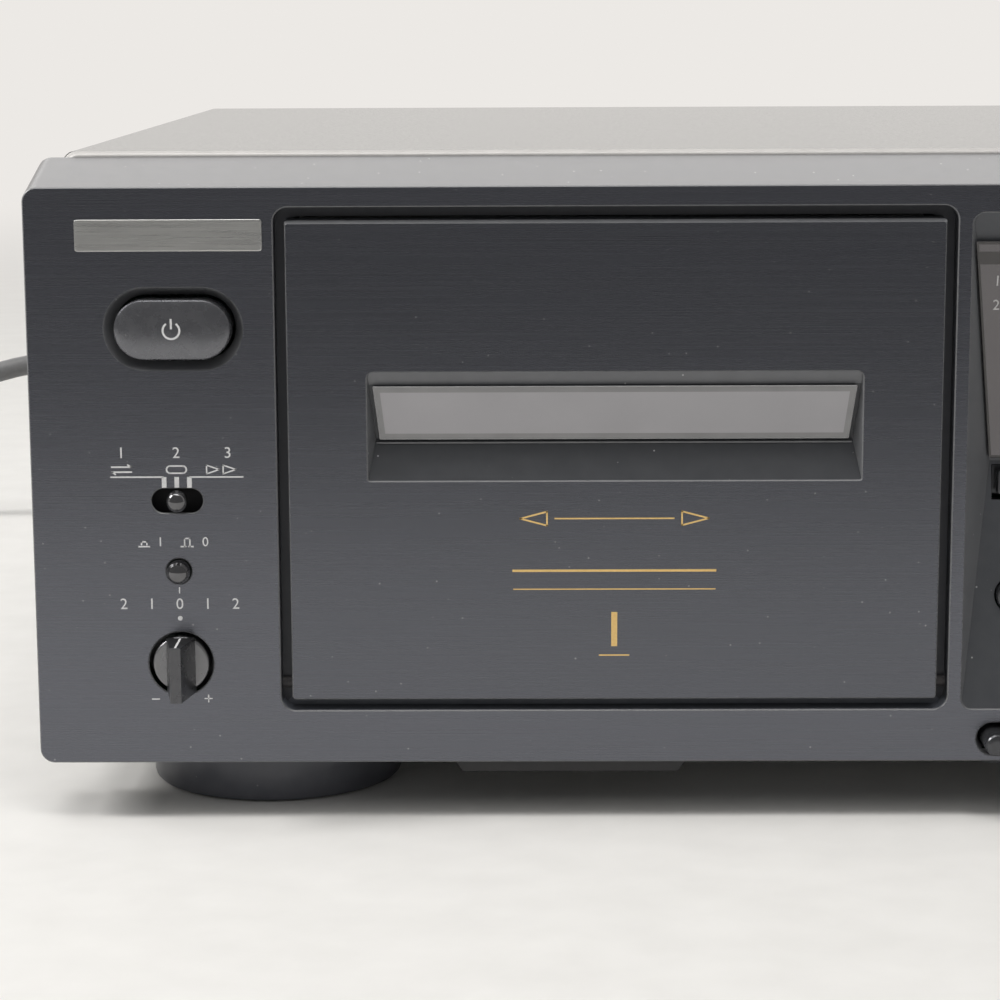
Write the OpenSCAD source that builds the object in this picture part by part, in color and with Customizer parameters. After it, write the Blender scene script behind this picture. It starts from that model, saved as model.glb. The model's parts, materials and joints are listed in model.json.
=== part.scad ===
// Double cassette deck: moulded panel with two doors and a vee console, two drives, steel case, mains lead.
// Millimetres. X runs to the right, Y to the rear, Z up; the origin is on the floor under the middle.
// Depths (d) count back from the front face; heights named *_z count up from the panel's lower edge.

/* [Case] */
// Width of the front panel
panel_w = 430; // [424:1:450]
// Height of the flat front face
face_h = 120; // [119:0.5:130]
// Front face to the outside of the rear panel
case_d = 285; // [270:1:320]
// Depth of the moulded panel
bezel_d = 20; // [19:0.5:21]
// Rise of the sloped top band over that depth
bezel_rise = 5; // [3:0.5:7]
// Wall of the moulded panel
panel_t = 3; // [2.5:0.1:3.2]
// Corner radius of the panel
panel_r = 3; // [2:0.5:4]
// Sheet steel of cover, chassis and rear panel
sheet_t = 1; // [0.8:0.1:1.2]
// Cover side to panel side
cover_inset = 5; // [4:0.5:7]
// Cover top above the rear edge of the top band
cover_step = 1.2; // [1.2:0.1:2]

/* [Feet] */
// Panel's lower edge above the floor
foot_h = 12; // [10:0.5:16]
// Radius of a foot
foot_r = 27; // [20:1:28]
// Foot centre in from the panel's side
foot_in = 46.4; // [43:0.1:65]
// Front foot centre behind the face
foot_front = 38; // [34:1:60]
// Rear foot centre from the rear
foot_rear = 40; // [32:1:60]

/* [Doors] */
// Rib between the console and a door opening
rib_w = 3; // [2.6:0.1:5]
// Width of a door opening in a panel of the usual width
bay_w = 138.6; // [130:0.1:139]
// Height of a door opening
bay_h = 104.6; // [103:0.1:105]
// Lower edge of the openings
bay_z = 11.2; // [10.8:0.1:11.6]
// Corner radius of the openings
bay_r = 3; // [2:0.5:4]
// Gap round a door
door_gap = 2.3; // [1.8:0.1:2.6]
// Thickness of a door
door_t = 3; // [2.6:0.1:3.4]
// Hinge pin behind the face
hinge_d = 4.5; // [4.4:0.1:4.8]
// Hinge pin above the opening's lower edge
hinge_up = 5; // [4.9:0.1:6]
// Hinge pin radius
pin_r = 1.2; // [1:0.05:1.4]

/* [Door window] */
// Width of the window recess
win_w = 101.3; // [95:0.1:101.5]
// Height of the window recess
win_h = 22.4; // [21:0.1:24]
// Lower edge of the window recess
win_z = 59.7; // [58:0.1:61]
// Crease above that edge
win_crease = 8.7; // [8:0.1:9.5]
// Depth at the crease
win_d = 5.2; // [4.5:0.1:5.6]
// Pane thickness
glass_t = 1.2; // [1:0.1:1.4]

/* [Console] */
// Width of the console
console_w = 45.4; // [44:0.1:46]
// Height of the console
console_h = 103; // [102:0.1:104]
// Crease above its lower edge
console_crease = 50.8; // [49:0.1:52]
// Depth at the crease
console_d = 10; // [9:0.1:11]
// Inward draft of the cheeks for each millimetre of depth
console_draft = 0.63; // [0.5:0.01:0.65]
// Radius of a round key
key_r = 3.4; // [3:0.1:3.6]
// Sideways spacing of the round keys
key_dx = 13; // [12:0.1:13.5]
// Upward spacing of the round keys
key_dz = 11.5; // [10.5:0.1:11.6]
// Middle row of the round keys
key_z = 34.6; // [34:0.1:36]
// Stroke of a console key
key_travel = 1; // [0.5:0.1:1.2]
// Width of a square key
sq_w = 9; // [8:0.1:9.4]
// Height of a square key
sq_h = 5; // [4.5:0.1:5.2]
// Square key centre from the middle
sq_x = 10.5; // [10:0.1:10.6]
// Height of the square keys
sq_z = 59; // [58.6:0.1:59.4]
// Width of an eject key
eject_w = 15.6; // [12:0.1:16]
// Height of an eject key
eject_h = 4.7; // [4:0.1:5]
// Eject key centre from the middle
eject_x = 10.5; // [10.4:0.1:12]
// Height of the eject keys
eject_z = 4.75; // [4.7:0.05:5]
// Eject keys stand out this far
eject_out = 6; // [4:0.1:7]
// Stroke of an eject key
eject_travel = 3; // [1:0.1:3.5]

/* [Side columns] */
// Share of a column's spare width by which its controls sit inwards of its middle
col_share = 0.2514; // [0.2:0.0001:0.26]
// Height of the power button
power_z = 91.2; // [88:0.1:93]
// Width of the power button
power_w = 23.8; // [20:0.1:24.5]
// Height across the power button
power_h = 12.3; // [10:0.1:12.6]
// Recess margin round the power button
power_moat = 2.2; // [1.5:0.1:2.4]
// Power button stands out this far
power_out = 3; // [2:0.1:4]
// Stroke of the power button
power_travel = 4; // [2:0.1:4.2]
// Height of the left slide switch
slide_z = 55.7; // [54:0.1:58]
// Width of a slide switch slot
slot_w = 11; // [10.5:0.1:12]
// Height of a slide switch slot
slot_h = 5.5; // [5:0.1:6]
// Radius of a slider's ball
ball_r = 2.05; // [1.8:0.05:2.2]
// Slider stroke each way
slide_travel = 2.8; // [2:0.1:2.9]
// Height of the pitch push button
pitch_key_z = 40.9; // [40:0.1:42]
// Radius of the pitch push button
pitch_key_r = 2.7; // [2.2:0.1:2.9]
// Stroke of the pitch push button
pitch_travel = 2.2; // [1:0.1:2.3]
// Height of the pitch knob and the phones jack
pitch_z = 21.3; // [20.5:0.1:22]
// Radius of the hole round the pitch knob
knob_hole_r = 7; // [6.8:0.1:7.4]
// Radius of the pitch knob
knob_r = 6.1; // [5.6:0.1:6.3]
// Finger bar of the pitch knob stands out this far
bar_out = 10; // [7:0.5:12]
// Height of the level knob
level_z = 60; // [56:0.5:62]
// Radius of the level knob
level_r = 12; // [9:0.5:14]
// Level knob stands out this far
level_out = 14; // [12:0.5:18]

/* [Cassette drives] */
// Spacing of the two reel spindles
hub_pitch = 42.5; // [42:0.1:43]
// Height of the reel spindles
hub_z = 73; // [72:0.1:74]
// Lower edge of a cassette in its holder
cass_z = 40; // [39.5:0.1:40.5]
// Width of a cassette
cass_w = 102.4; // [101:0.1:103]
// Thickness of a cassette
cass_t = 12.4; // [12:0.1:12.6]
// Front of a cassette behind the face
cass_d = 8; // [7.8:0.1:8.2]
// Capstan from the middle of its deck
capstan_x = 34; // [33.5:0.1:34.5]
// Height of the capstans
capstan_z = 46.5; // [46:0.1:47]
// Capstan radius
capstan_r = 1; // [0.9:0.05:1.1]
// Stroke of the head carriage
head_travel = 6; // [3:0.1:6.2]
// Radius of a pinch roller
roller_r = 5.2; // [4.6:0.1:5.2]
// Radius of the driven flywheel
wheel_r = 24; // [22:0.5:25]

/* [Mains lead] */
// Radius of the cord
cord_r = 3.25; // [3:0.05:3.3]
// Gland on the rear panel, from the middle
gland_x = -170; // [-180:1:-160]

/* [Hidden] */
$fn = 64;
eps = 0.5;
// Loose fit between a moving piece and its guide
play = 0.3;
// Running fit of a shaft in its bore
run = 0.05;
// Fixed pieces standing beside each other
seat = 0.2;
rec_gap = 0.5;
sleeve_out = 9;
front_reach = level_out;
rear_reach = sleeve_out;
face_y = -(case_d + rear_reach - front_reach) / 2;
half_w = panel_w / 2;
usual_w = 430;
open_w = bay_w + (panel_w - usual_w) / 2;
door_x = console_w / 2 + rib_w + open_w / 2;
foot_x = half_w - foot_in;
top_slope = atan(bezel_rise / bezel_d);
cover_x = half_w - cover_inset;
cover_z = foot_h + face_h + bezel_rise + cover_step;
case_x = cover_x - sheet_t - seat;
floor_z = foot_h + sheet_t;
back_d = case_d - sheet_t;
chassis_d = bezel_d + play;
flange_h = 18;
// Door well, hinge and door
well_t = 2;
well_d = 14;
bay_mid = foot_h + bay_z + bay_h / 2;
door_w = open_w - 2 * door_gap;
door_h = bay_h - 2 * door_gap;
door_r = 0.8;
door_low = bay_mid - door_h / 2;
hinge_z = foot_h + bay_z + hinge_up;
barrel_r = pin_r + 1.3;
barrel_l = 7;
barrel_in = door_w / 2 - barrel_l;
door_edge = 0.8;
// Window recess: lower edge, crease, pane top, upper edge
win_low = foot_h + win_z;
win_top = win_low + win_h;
win_mid = win_low + win_crease;
win_lip_h = 2.3;
win_lip_d = 1.2;
win_draft = 0.29;
win_wall = 1.5;
win_back = cass_w / 2 - seat;
glass_a = atan((win_d - win_lip_d) / (win_top - win_lip_h - win_mid));
// Console vee
con_low = foot_h + bay_z;
con_top = con_low + console_h;
con_mid = con_low + console_crease;
con_lip_h = 7;
con_lip_d = 1.5;
con_wall = 2.5;
con_shell = 1.5;
pane_a = atan((console_d - con_lip_d) / (con_top - con_lip_h - con_mid));
pane_t = 1.6;
pane_low = con_mid + 2.4;
sq_frame = 1.15;
eject_moat = 1.1;
guide_t = 3;
recess_d = panel_t + 1;
recess_wall = 2;
// Control columns beside the doors
col_w = half_w - door_x - open_w / 2;
col_spare = col_w - power_w - 2 * power_moat - 2 * recess_wall;
col_x = half_w - col_w / 2 - col_share * col_spare;
side_board = col_w / 2 - 7.35;
side_post = side_board - 2.8;
// Boards behind the panel
board_d = 24;
board_t = 1.6;
tact_h = 4;
key_end = board_d - tact_h - key_travel - seat;
stem_r = 1.5;
key_out = 1.6;
post_r = 2.5;
switch_d = 14;
pot_bush_r = 4.5;
pot_r = 9;
shaft_r = 3;
shaft_end = 18.5;
jack_bore = 3.2;
jack_r = 4.4;
// Cassette drive
drive_d = 26;
drive_t = 2;
drive_w = capstan_x + 32;
wheel_d = 33;
wheel_t = 8;
rear_plate_d = 46;
rear_plate_t = 1.5;
spindle_r = 1.5;
table_r = 11;
table_d = 22.6;
hub_tip = 10;
carriage_t = 1.5;
carriage_d = drive_d - play - carriage_t;
carriage_low = 21;
roller_z = capstan_z - head_travel - roller_r - capstan_r - play;
axle_r = 1;
holder_t = 1.6;
holder_lip = 6;
holder_up = 68;
post_x = capstan_x + 26;
motor_x = -30;
motor_z = 96;
motor_r = 14;
motor_l = 24;
pulley_r = 4;
belt_t = 1;
belt_w = 4;
// Second flywheel: sized so that its rim runs on the outside of the belt's lower run
belt_l = norm([motor_x - capstan_x, motor_z - capstan_z]);
belt_u = [motor_x - capstan_x, motor_z - capstan_z] / belt_l;
belt_n = [-belt_u[1], belt_u[0]];
belt_c = (wheel_r - pulley_r) / belt_l;
belt_m = belt_c * belt_u + sqrt(1 - belt_c * belt_c) * belt_n;
belt_off = belt_m[0] * -2 * capstan_x;
idle_r = belt_off - wheel_r - belt_t - 2 * play;
// Rear
jack_x = half_w - 95;
jack_z = foot_h + 40;
jack_pitch = 16;
jack_half = 34;
jack_rise = 10;
jack_edge = 3;
jack_in = 12;
sleeve_r = 4.15;
sleeve_bore = 1.7;
gland_z = foot_h + 52;
gland_end = case_d + 25;
screw_r = 1.5;
screw_head_r = 2.8;
screw_head_h = 2;
screw_hole_r = 1.65;
side_screw_d = [70, case_d - 65];
rear_screw_x = [-150, 0, 150];
rear_screw_z = cover_z - 6.5;
board_z = floor_z + 9;
board_left = 135 - half_w;
board_right = half_w - 45;
board_front = 110;
board_back = case_d - 35;
stand_r = 3;
// Transformer core and winding
core_x = 65 - half_w;
core_w = 56;
core_h = 48;
core_t = 26;
core_front = case_d - 85;
limb_w = 18;
yoke_h = 10;
core_gap = 10;
winding_out = 9;

// Height of the sloped top band at a depth
function band_z(d) = foot_h + face_h + d * bezel_rise / bezel_d;
// Depth of the console's key ramp at a height
function ramp_d(z) = console_d * (z - con_low) / console_crease;
// Left or right deck
function deck_x(s) = s * door_x;

// Front outline (x, z) drawn out from depth d0 to depth d1
module slab(d0, d1) {
    translate([0, face_y + d1, 0]) rotate([90, 0, 0]) linear_extrude(d1 - d0) children();
}
// Side outline (depth, z) drawn out from x0 to x1
module beam(x0, x1) {
    translate([x0, face_y, 0]) rotate([90, 0, 90]) linear_extrude(x1 - x0) children();
}
// Box between two corners
module box(x0, x1, d0, d1, z0, z1) {
    translate([x0, face_y + d0, z0]) cube([x1 - x0, d1 - d0, z1 - z0]);
}
// Round rod from front to rear
module rod(x, z, r, d0, d1) {
    translate([x, face_y + d0, z]) rotate([-90, 0, 0]) cylinder(r = r, h = d1 - d0);
}
// Tapered rod from front to rear
module taper(x, z, r0, r1, d0, d1) {
    translate([x, face_y + d0, z]) rotate([-90, 0, 0]) cylinder(r1 = r0, r2 = r1, h = d1 - d0);
}
// Round rod across the width
module axle(x0, x1, d, z, r) {
    translate([x0, face_y + d, z]) rotate([0, 90, 0]) cylinder(r = r, h = x1 - x0);
}
module round_rect(w, h, r) {
    square([w - 2 * r, h], center = true);
    square([w, h - 2 * r], center = true);
    for (x = [-1, 1], z = [-1, 1])
        translate([x * (w / 2 - r), z * (h / 2 - r)]) circle(r);
}
module pill(w, h) {
    square([w - h, h], center = true);
    for (x = [-1, 1])
        translate([x * (w - h) / 2, 0]) circle(h / 2);
}
// Space between two cheeks that lean in with depth
module cheeks(x, w, draft, depth, z0, z1, gap) {
    front = 1;
    translate([x, face_y, z0]) linear_extrude(z1 - z0) polygon([
        [-w / 2 - draft * front + gap, -front], [w / 2 + draft * front - gap, -front],
        [w / 2 - draft * depth - gap, depth], [-w / 2 + draft * depth + gap, depth]]);
}

// Moulded front panel: shell, door wells, console vee, guides and board posts
module panel_skin() {
    intersection() {
        slab(0, bezel_d) translate([0, foot_h + face_h]) round_rect(panel_w, 2 * face_h, panel_r);
        translate([0, face_y, foot_h + face_h]) rotate([top_slope, 0, 0])
            translate([0, 2 * bezel_d, 0]) rotate([90, 0, 0]) linear_extrude(4 * bezel_d)
            translate([0, -face_h]) round_rect(panel_w, 2 * face_h, panel_r);
    }
}
module panel_cavity() {
    far = bezel_d + 1;
    beam(-half_w + panel_t, half_w - panel_t) polygon([
        [panel_t, foot_h + panel_t], [far, foot_h + panel_t],
        [far, band_z(far) - panel_t], [panel_t, band_z(panel_t) - panel_t]]);
}
module console_shell() {
    x = console_w / 2 + con_shell;
    beam(-x, x) polygon([
        [panel_t / 2, con_low - well_t], [panel_t, con_low - well_t],
        [console_d + con_wall, con_mid - 4], [console_d + con_wall, con_mid + 4],
        [con_lip_d + con_wall + 1, con_top + well_t], [panel_t / 2, con_top + well_t]]);
}
module console_cut() {
    intersection() {
        beam(-console_w, console_w) polygon([
            [-1, con_low], [0, con_low], [console_d, con_mid], [con_lip_d, con_top - con_lip_h],
            [0, con_top], [-1, con_top]]);
        cheeks(0, console_w, console_draft, console_d + 1, con_low - 1, con_top + 1, 0);
    }
}
module panel_posts() {
    for (s = [-1, 1], x = [-side_post, side_post], z = [9, face_h - 11])
        rod(s * col_x + x, foot_h + z, post_r, panel_t / 2, board_d);
    for (s = [-1, 1])
        rod(s * 19.5, foot_h + face_h - 12, post_r, panel_t / 2, board_d);
    for (s = [-1, 1])
        rod(s * 19.5, con_low + 3.2, post_r, panel_t / 2, board_d);
}
module panel_guides() {
    slab(panel_t / 2, recess_d + guide_t) translate([-col_x, foot_h + power_z])
        pill(power_w + 2 * power_moat + 2 * recess_wall, power_h + 2 * power_moat + 2 * recess_wall);
    box(-2 * eject_x, 2 * eject_x, panel_t / 2, recess_d + guide_t - 1, foot_h + eps, con_low - eps);
    beam(-129, -79) skid();
    beam(79, 129) skid();
}
module skid() {
    polygon([[3, foot_h + eps], [5, foot_h - 3.2], [10, foot_h - 3.2], [12, foot_h + eps]]);
}
module front_panel() {
    color("dimgray") difference() {
        union() {
            difference() {
                panel_skin();
                panel_cavity();
            }
            for (s = [-1, 1])
                slab(panel_t / 2, well_d) translate([deck_x(s), bay_mid])
                    round_rect(open_w + 2 * well_t, bay_h + 2 * well_t, bay_r + well_t);
            console_shell();
            panel_guides();
            panel_posts();
        }
        for (s = [-1, 1]) {
            slab(-1, well_d + 1) translate([deck_x(s), bay_mid]) round_rect(open_w, bay_h, bay_r);
            axle(deck_x(s) - open_w / 2 - well_t - 1, deck_x(s) + open_w / 2 + well_t + 1, hinge_d, hinge_z,
                pin_r + run / 2);
        }
        console_cut();
        box(-14, 14, 0, well_d + 1, pane_low + 4, con_top - con_lip_h - 6);
        for (i = [0:6])
            rod(key_spot(i)[0], key_spot(i)[1], key_r + play, -1, well_d + 2);
        for (s = [-1, 1])
            box(s * sq_x - sq_w / 2 - sq_frame, s * sq_x + sq_w / 2 + sq_frame, 0, well_d + 2,
                foot_h + sq_z - sq_h / 2 - sq_frame, foot_h + sq_z + sq_h / 2 + sq_frame);
        for (s = [-1, 1]) translate([s * eject_x, 0, 0]) {
            slab(-1, panel_t) translate([0, foot_h + eject_z])
                pill(eject_w + 2 * eject_moat, eject_h + 2 * eject_moat);
            slab(-1, bezel_d + 1) translate([0, foot_h + eject_z])
                pill(eject_w + 2 * play, eject_h + 2 * play);
        }
        slab(-1, recess_d) translate([-col_x, foot_h + power_z])
            pill(power_w + 2 * power_moat, power_h + 2 * power_moat);
        slab(-1, bezel_d) translate([-col_x, foot_h + power_z]) pill(power_w + 2 * play, power_h + 2 * play);
        slab(-1, panel_t + 1) translate([-col_x, foot_h + slide_z]) pill(slot_w, slot_h);
        slab(-1, panel_t + 1) translate([col_x, foot_h + power_z]) pill(slot_w, slot_h);
        rod(-col_x, foot_h + pitch_key_z, pitch_key_r + play, -1, panel_t + 1);
        rod(-col_x, foot_h + pitch_z, knob_hole_r, -1, panel_t + 1);
        rod(col_x, foot_h + level_z, shaft_r + 1, -1, panel_t + 1);
        rod(col_x, foot_h + pitch_z, jack_r + seat, -1, panel_t + 1);
    }
}

// Console keys: a round cap on a stem that ends short of its switch
function key_spot(i) = [
    [-key_dx, 0, 0.65 * key_dx, 0, key_dx, -0.65 * key_dx, 0][i],
    foot_h + key_z + [0, 0, -key_dz, key_dz, 0, -key_dz, -key_dz][i]];
module round_key(i) {
    x = key_spot(i)[0];
    z = key_spot(i)[1];
    d = ramp_d(z) - key_out;
    color("darkslategray") {
        taper(x, z, key_r - eps, key_r, d, d + eps);
        rod(x, z, key_r, d + eps, console_d + con_wall);
        rod(x, z, stem_r, console_d, key_end);
    }
}
module reverse_key() { round_key(0); }
module stop_key() { round_key(1); }
module forward_key() { round_key(2); }
module pause_key() { round_key(3); }
module play_key() { round_key(4); }
module rewind_key() { round_key(5); }
module record_key() { round_key(6); }
// Square keys at the crease: a cap on a wider base that fills the frame
module square_key(s) {
    z = foot_h + sq_z;
    d = ramp_d(z);
    base = sq_frame - play;
    color("darkslategray") {
        box(s * sq_x - sq_w / 2, s * sq_x + sq_w / 2, d - 1, d + 2, z - sq_h / 2, z + sq_h / 2);
        box(s * sq_x - sq_w / 2 - base, s * sq_x + sq_w / 2 + base, d + 1.5, d + 5,
            z - sq_h / 2 - base, z + sq_h / 2 + base);
        rod(s * sq_x, z, stem_r, d + 4, key_end);
    }
}
module counter_key() { square_key(-1); }
module memory_key() { square_key(1); }
// Oval eject keys with a wide flange behind their guide
module eject_key(s) {
    z = foot_h + eject_z;
    flange = recess_d + guide_t - 1 + play;
    color("darkslategray") {
        slab(-eject_out, flange + 3) translate([s * eject_x, z]) pill(eject_w, eject_h);
        slab(flange, flange + 1.5) translate([s * eject_x, z]) pill(eject_w + 3, eject_h - 1.6);
    }
}
module eject_key_a() { eject_key(-1); }
module eject_key_b() { eject_key(1); }

// Smoked display pane lying on the upper face of the console vee
module display_pane() {
    color("black") intersection() {
        translate([0, face_y + con_lip_d, con_top - con_lip_h]) rotate([pane_a, 0, 0])
            translate([-console_w, -pane_t, -console_h]) cube([2 * console_w, pane_t, console_h - seat]);
        cheeks(0, console_w, console_draft, console_d, pane_low, con_top, seat);
    }
}
module display_tube() {
    color("lightgray")
        box(-16, 16, console_d + con_wall + play, board_d, pane_low + 3, con_top - con_lip_h - 5);
}
// Three boards behind the panel, the middle one with a switch under each key
module front_boards() {
    color("darkgreen") {
        for (s = [-1, 1])
            box(s * col_x - side_board, s * col_x + side_board, board_d, board_d + board_t,
                foot_h + 5, foot_h + face_h - 7);
        box(-23, 23, board_d, board_d + board_t, con_low - 2, con_top - 1);
        for (i = [0:6])
            box(key_spot(i)[0] - 3, key_spot(i)[0] + 3, board_d - tact_h, board_d + eps,
                key_spot(i)[1] - 3, key_spot(i)[1] + 3);
        for (s = [-1, 1])
            box(s * sq_x - 3, s * sq_x + 3, board_d - tact_h, board_d + eps,
                foot_h + sq_z - 3, foot_h + sq_z + 3);
    }
}
// Parts soldered to the side boards: power switch, slide switches, pitch latch and two potentiometers
module control_bodies() {
    potentiometers();
    color("silver") {
        box(-col_x - 8, -col_x + 8, 13 + power_travel, board_d, foot_h + power_z - 6, foot_h + power_z + 6);
        box(-col_x - 9, -col_x + 9, switch_d, board_d, foot_h + slide_z - 4, foot_h + slide_z + 4);
        box(col_x - 9, col_x + 9, switch_d, board_d, foot_h + power_z - 4, foot_h + power_z + 4);
        box(-col_x - 4, -col_x + 4, 16.5 + pitch_travel, board_d,
            foot_h + pitch_key_z - 4, foot_h + pitch_key_z + 4);
    }
}
module potentiometers() {
    color("silver") for (p = [[-col_x, foot_h + pitch_z], [col_x, foot_h + level_z]])
        difference() {
            union() {
                rod(p[0], p[1], pot_r, switch_d, board_d);
                rod(p[0], p[1], pot_bush_r, panel_t + 4, switch_d + eps);
            }
            rod(p[0], p[1], shaft_r + run, 0, shaft_end + 1);
        }
}
module phones_jack() {
    z = foot_h + pitch_z;
    color("black") difference() {
        union() {
            rod(col_x, z, jack_r + 1.6, -1.2, 0);
            rod(col_x, z, jack_r, -1, panel_t + 2);
            box(col_x - 7, col_x + 7, panel_t + seat, board_d, z - 7, z + 7);
        }
        rod(col_x, z, jack_bore, -2, board_d - 3);
    }
}
module hinge_pins() {
    color("silver") for (s = [-1, 1], e = [-1, 1]) {
        inner = deck_x(s) + e * (barrel_in - 1);
        outer = deck_x(s) + e * (open_w / 2 + well_t - eps);
        axle(min(inner, outer), max(inner, outer), hinge_d, hinge_z, pin_r);
    }
}

// Controls of the side columns
module power_button() {
    color("darkslategray") {
        slab(-power_out, 11) translate([-col_x, foot_h + power_z]) pill(power_w, power_h);
        box(-col_x - 3, -col_x + 3, 10, 12.7, foot_h + power_z - 2, foot_h + power_z + 2);
    }
}
module slider(x, z) {
    color("black") {
        translate([x, face_y - eps, z]) sphere(ball_r);
        rod(x, z, 1.2, 0, switch_d - 1);
        box(x - 4.5, x + 4.5, switch_d - 2, switch_d - play, z - 2.5, z + 2.5);
    }
}
module mode_slider() { slider(-col_x, foot_h + slide_z); }
module noise_slider() { slider(col_x, foot_h + power_z); }
module pitch_button() {
    z = foot_h + pitch_key_z;
    color("darkslategray") {
        taper(-col_x, z, pitch_key_r - eps, pitch_key_r, -3, -3 + eps);
        rod(-col_x, z, pitch_key_r, -3 + eps, 12);
        rod(-col_x, z, stem_r, 11, 16.3);
    }
}
// Pitch knob: a disc in its hole, a flared finger bar and the shaft
module pitch_knob() {
    z = foot_h + pitch_z;
    color("darkslategray") {
        rod(-col_x, z, knob_r, -eps, panel_t + 2);
        rod(-col_x, z, shaft_r, panel_t + 1, shaft_end);
        intersection() {
            translate([-col_x, face_y, z - knob_r]) linear_extrude(2 * knob_r - 0.6) polygon([
                [-3.2, eps], [3.2, eps], [3.2, -eps], [1.3, -3], [1.3, -bar_out], [-1.3, -bar_out],
                [-1.3, -3], [-3.2, -eps]]);
            rod(-col_x, z, knob_r, -bar_out - 1, panel_t);
        }
    }
}
module level_knob() {
    z = foot_h + level_z;
    color("darkslategray") difference() {
        union() {
            taper(col_x, z, level_r - 0.8, level_r, -level_out, -level_out + 0.8);
            rod(col_x, z, level_r, -level_out + 0.8, -rec_gap);
            rod(col_x, z, shaft_r, -rec_gap - 1, shaft_end);
        }
        box(col_x - 0.6, col_x + 0.6, -level_out - 1, -level_out + 0.6, z + level_r / 3, z + level_r + 1);
    }
}

// Door: plate with hinge barrels and the vee recess of its window
module window_cut(x) {
    intersection() {
        beam(x - win_w, x + win_w) polygon([
            [-1, win_low], [0, win_low], [win_d, win_mid], [win_lip_d, win_top - win_lip_h], [0, win_top],
            [-1, win_top]]);
        cheeks(x, win_w, win_draft, win_d + 1, win_low - 1, win_top + 1, 0);
    }
}
module door(s) {
    x = deck_x(s);
    low = door_low;
    color("dimgray") difference() {
        union() {
            slab(0, door_t) translate([x, bay_mid]) round_rect(door_w, door_h, door_r);
            box(x - win_back, x + win_back, door_t / 2, win_d + win_wall, win_low - 2, win_top + 2);
            for (e = [-1, 1])
                axle(x + e * (barrel_in + barrel_l / 2) - barrel_l / 2,
                    x + e * (barrel_in + barrel_l / 2) + barrel_l / 2, hinge_d, hinge_z, barrel_r);
        }
        window_cut(x);
        box(x - win_w / 2 + 5, x + win_w / 2 - 5, 0, win_d + win_wall + 1,
            win_mid + 2, win_top - win_lip_h - 2);
        axle(x - door_w, x + door_w, hinge_d, hinge_z, pin_r + run);
        beam(x - door_w, x + door_w) polygon([[-1, low - 1], [door_edge, low - 1], [door_edge, low],
            [0, low + door_edge], [-1, low + door_edge]]);
    }
}
module door_a() { door(-1); }
module door_b() { door(1); }
module window(s) {
    x = deck_x(s);
    low = win_mid + 0.6;
    color("lightsteelblue") intersection() {
        translate([x, face_y + win_lip_d, win_top - win_lip_h]) rotate([glass_a, 0, 0])
            translate([-win_w, -glass_t, -win_h]) cube([2 * win_w, glass_t, win_h]);
        cheeks(x, win_w, win_draft, win_d, low, win_top, seat);
    }
}
module window_a() { window(-1); }
module window_b() { window(1); }
// Cassette holder: two channels closed below, joined by a bar behind the cassette
module holder(s) {
    x = deck_x(s);
    rear = cass_d + cass_t;
    low = foot_h + cass_z;
    color("gray") {
        for (e = [-1, 1]) {
            out = x + e * (cass_w / 2 + holder_t);
            in = x + e * cass_w / 2;
            lip = x + e * (cass_w / 2 - holder_lip);
            box(min(in, out), max(in, out), door_t, rear + holder_t, low - holder_t, low + holder_up);
            box(min(lip, out), max(lip, out), rear, rear + holder_t, low - holder_t, low + holder_up);
            box(min(lip, out), max(lip, out), cass_d, rear + holder_t, low - holder_t, low);
        }
        box(x - cass_w / 2, x + cass_w / 2, rear, rear + holder_t, low + holder_up - 14, low + holder_up);
    }
}
module holder_a() { holder(-1); }
module holder_b() { holder(1); }

// Drive frame: front plate on the chassis, rear plate on four posts
module drive_frame(x) {
    difference() {
        union() {
            box(x - drive_w, x + drive_w, drive_d, drive_d + drive_t, floor_z, foot_h + face_h - 8);
            box(x - drive_w + 2, x + drive_w - 2, rear_plate_d, rear_plate_d + rear_plate_t,
                foot_h + 17, foot_h + face_h - 10);
            for (e = [-1, 1], z = [23, face_h - 14])
                rod(x + e * post_x, foot_h + z, 3, drive_d, rear_plate_d + eps);
        }
        for (e = [-1, 1]) {
            rod(x + e * hub_pitch / 2, foot_h + hub_z, spindle_r + run, drive_d - 1, drive_d + drive_t + 1);
            rod(x + e * capstan_x, foot_h + capstan_z, capstan_r + run, drive_d - 1,
                rear_plate_d + rear_plate_t + 1);
        }
        rod(x + motor_x, foot_h + motor_z, 2, rear_plate_d - 1, rear_plate_d + rear_plate_t + 1);
    }
}
module drive_frames() {
    color("silver") for (s = [-1, 1]) drive_frame(deck_x(s));
}
module drive_motors() {
    z = foot_h + motor_z;
    back = rear_plate_d + rear_plate_t;
    color("gray") for (s = [-1, 1]) {
        x = deck_x(s) + motor_x;
        rod(x, z, motor_r, back, back + motor_l);
        rod(x, z, 1, wheel_d + 1, back + 1);
        rod(x, z, pulley_r, wheel_d + 1, wheel_d + wheel_t - 1);
    }
}
module belt_loop(x, r) {
    hull() {
        translate([x + motor_x, foot_h + motor_z]) circle(pulley_r + r, $fn = 24);
        translate([x + capstan_x, foot_h + capstan_z]) circle(wheel_r + r, $fn = 48);
    }
}
module drive_belts() {
    color("black") for (s = [-1, 1])
        slab(wheel_d + wheel_t / 2 - belt_w / 2, wheel_d + wheel_t / 2 + belt_w / 2) difference() {
            belt_loop(deck_x(s), play + belt_t);
            belt_loop(deck_x(s), play);
        }
}
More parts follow.
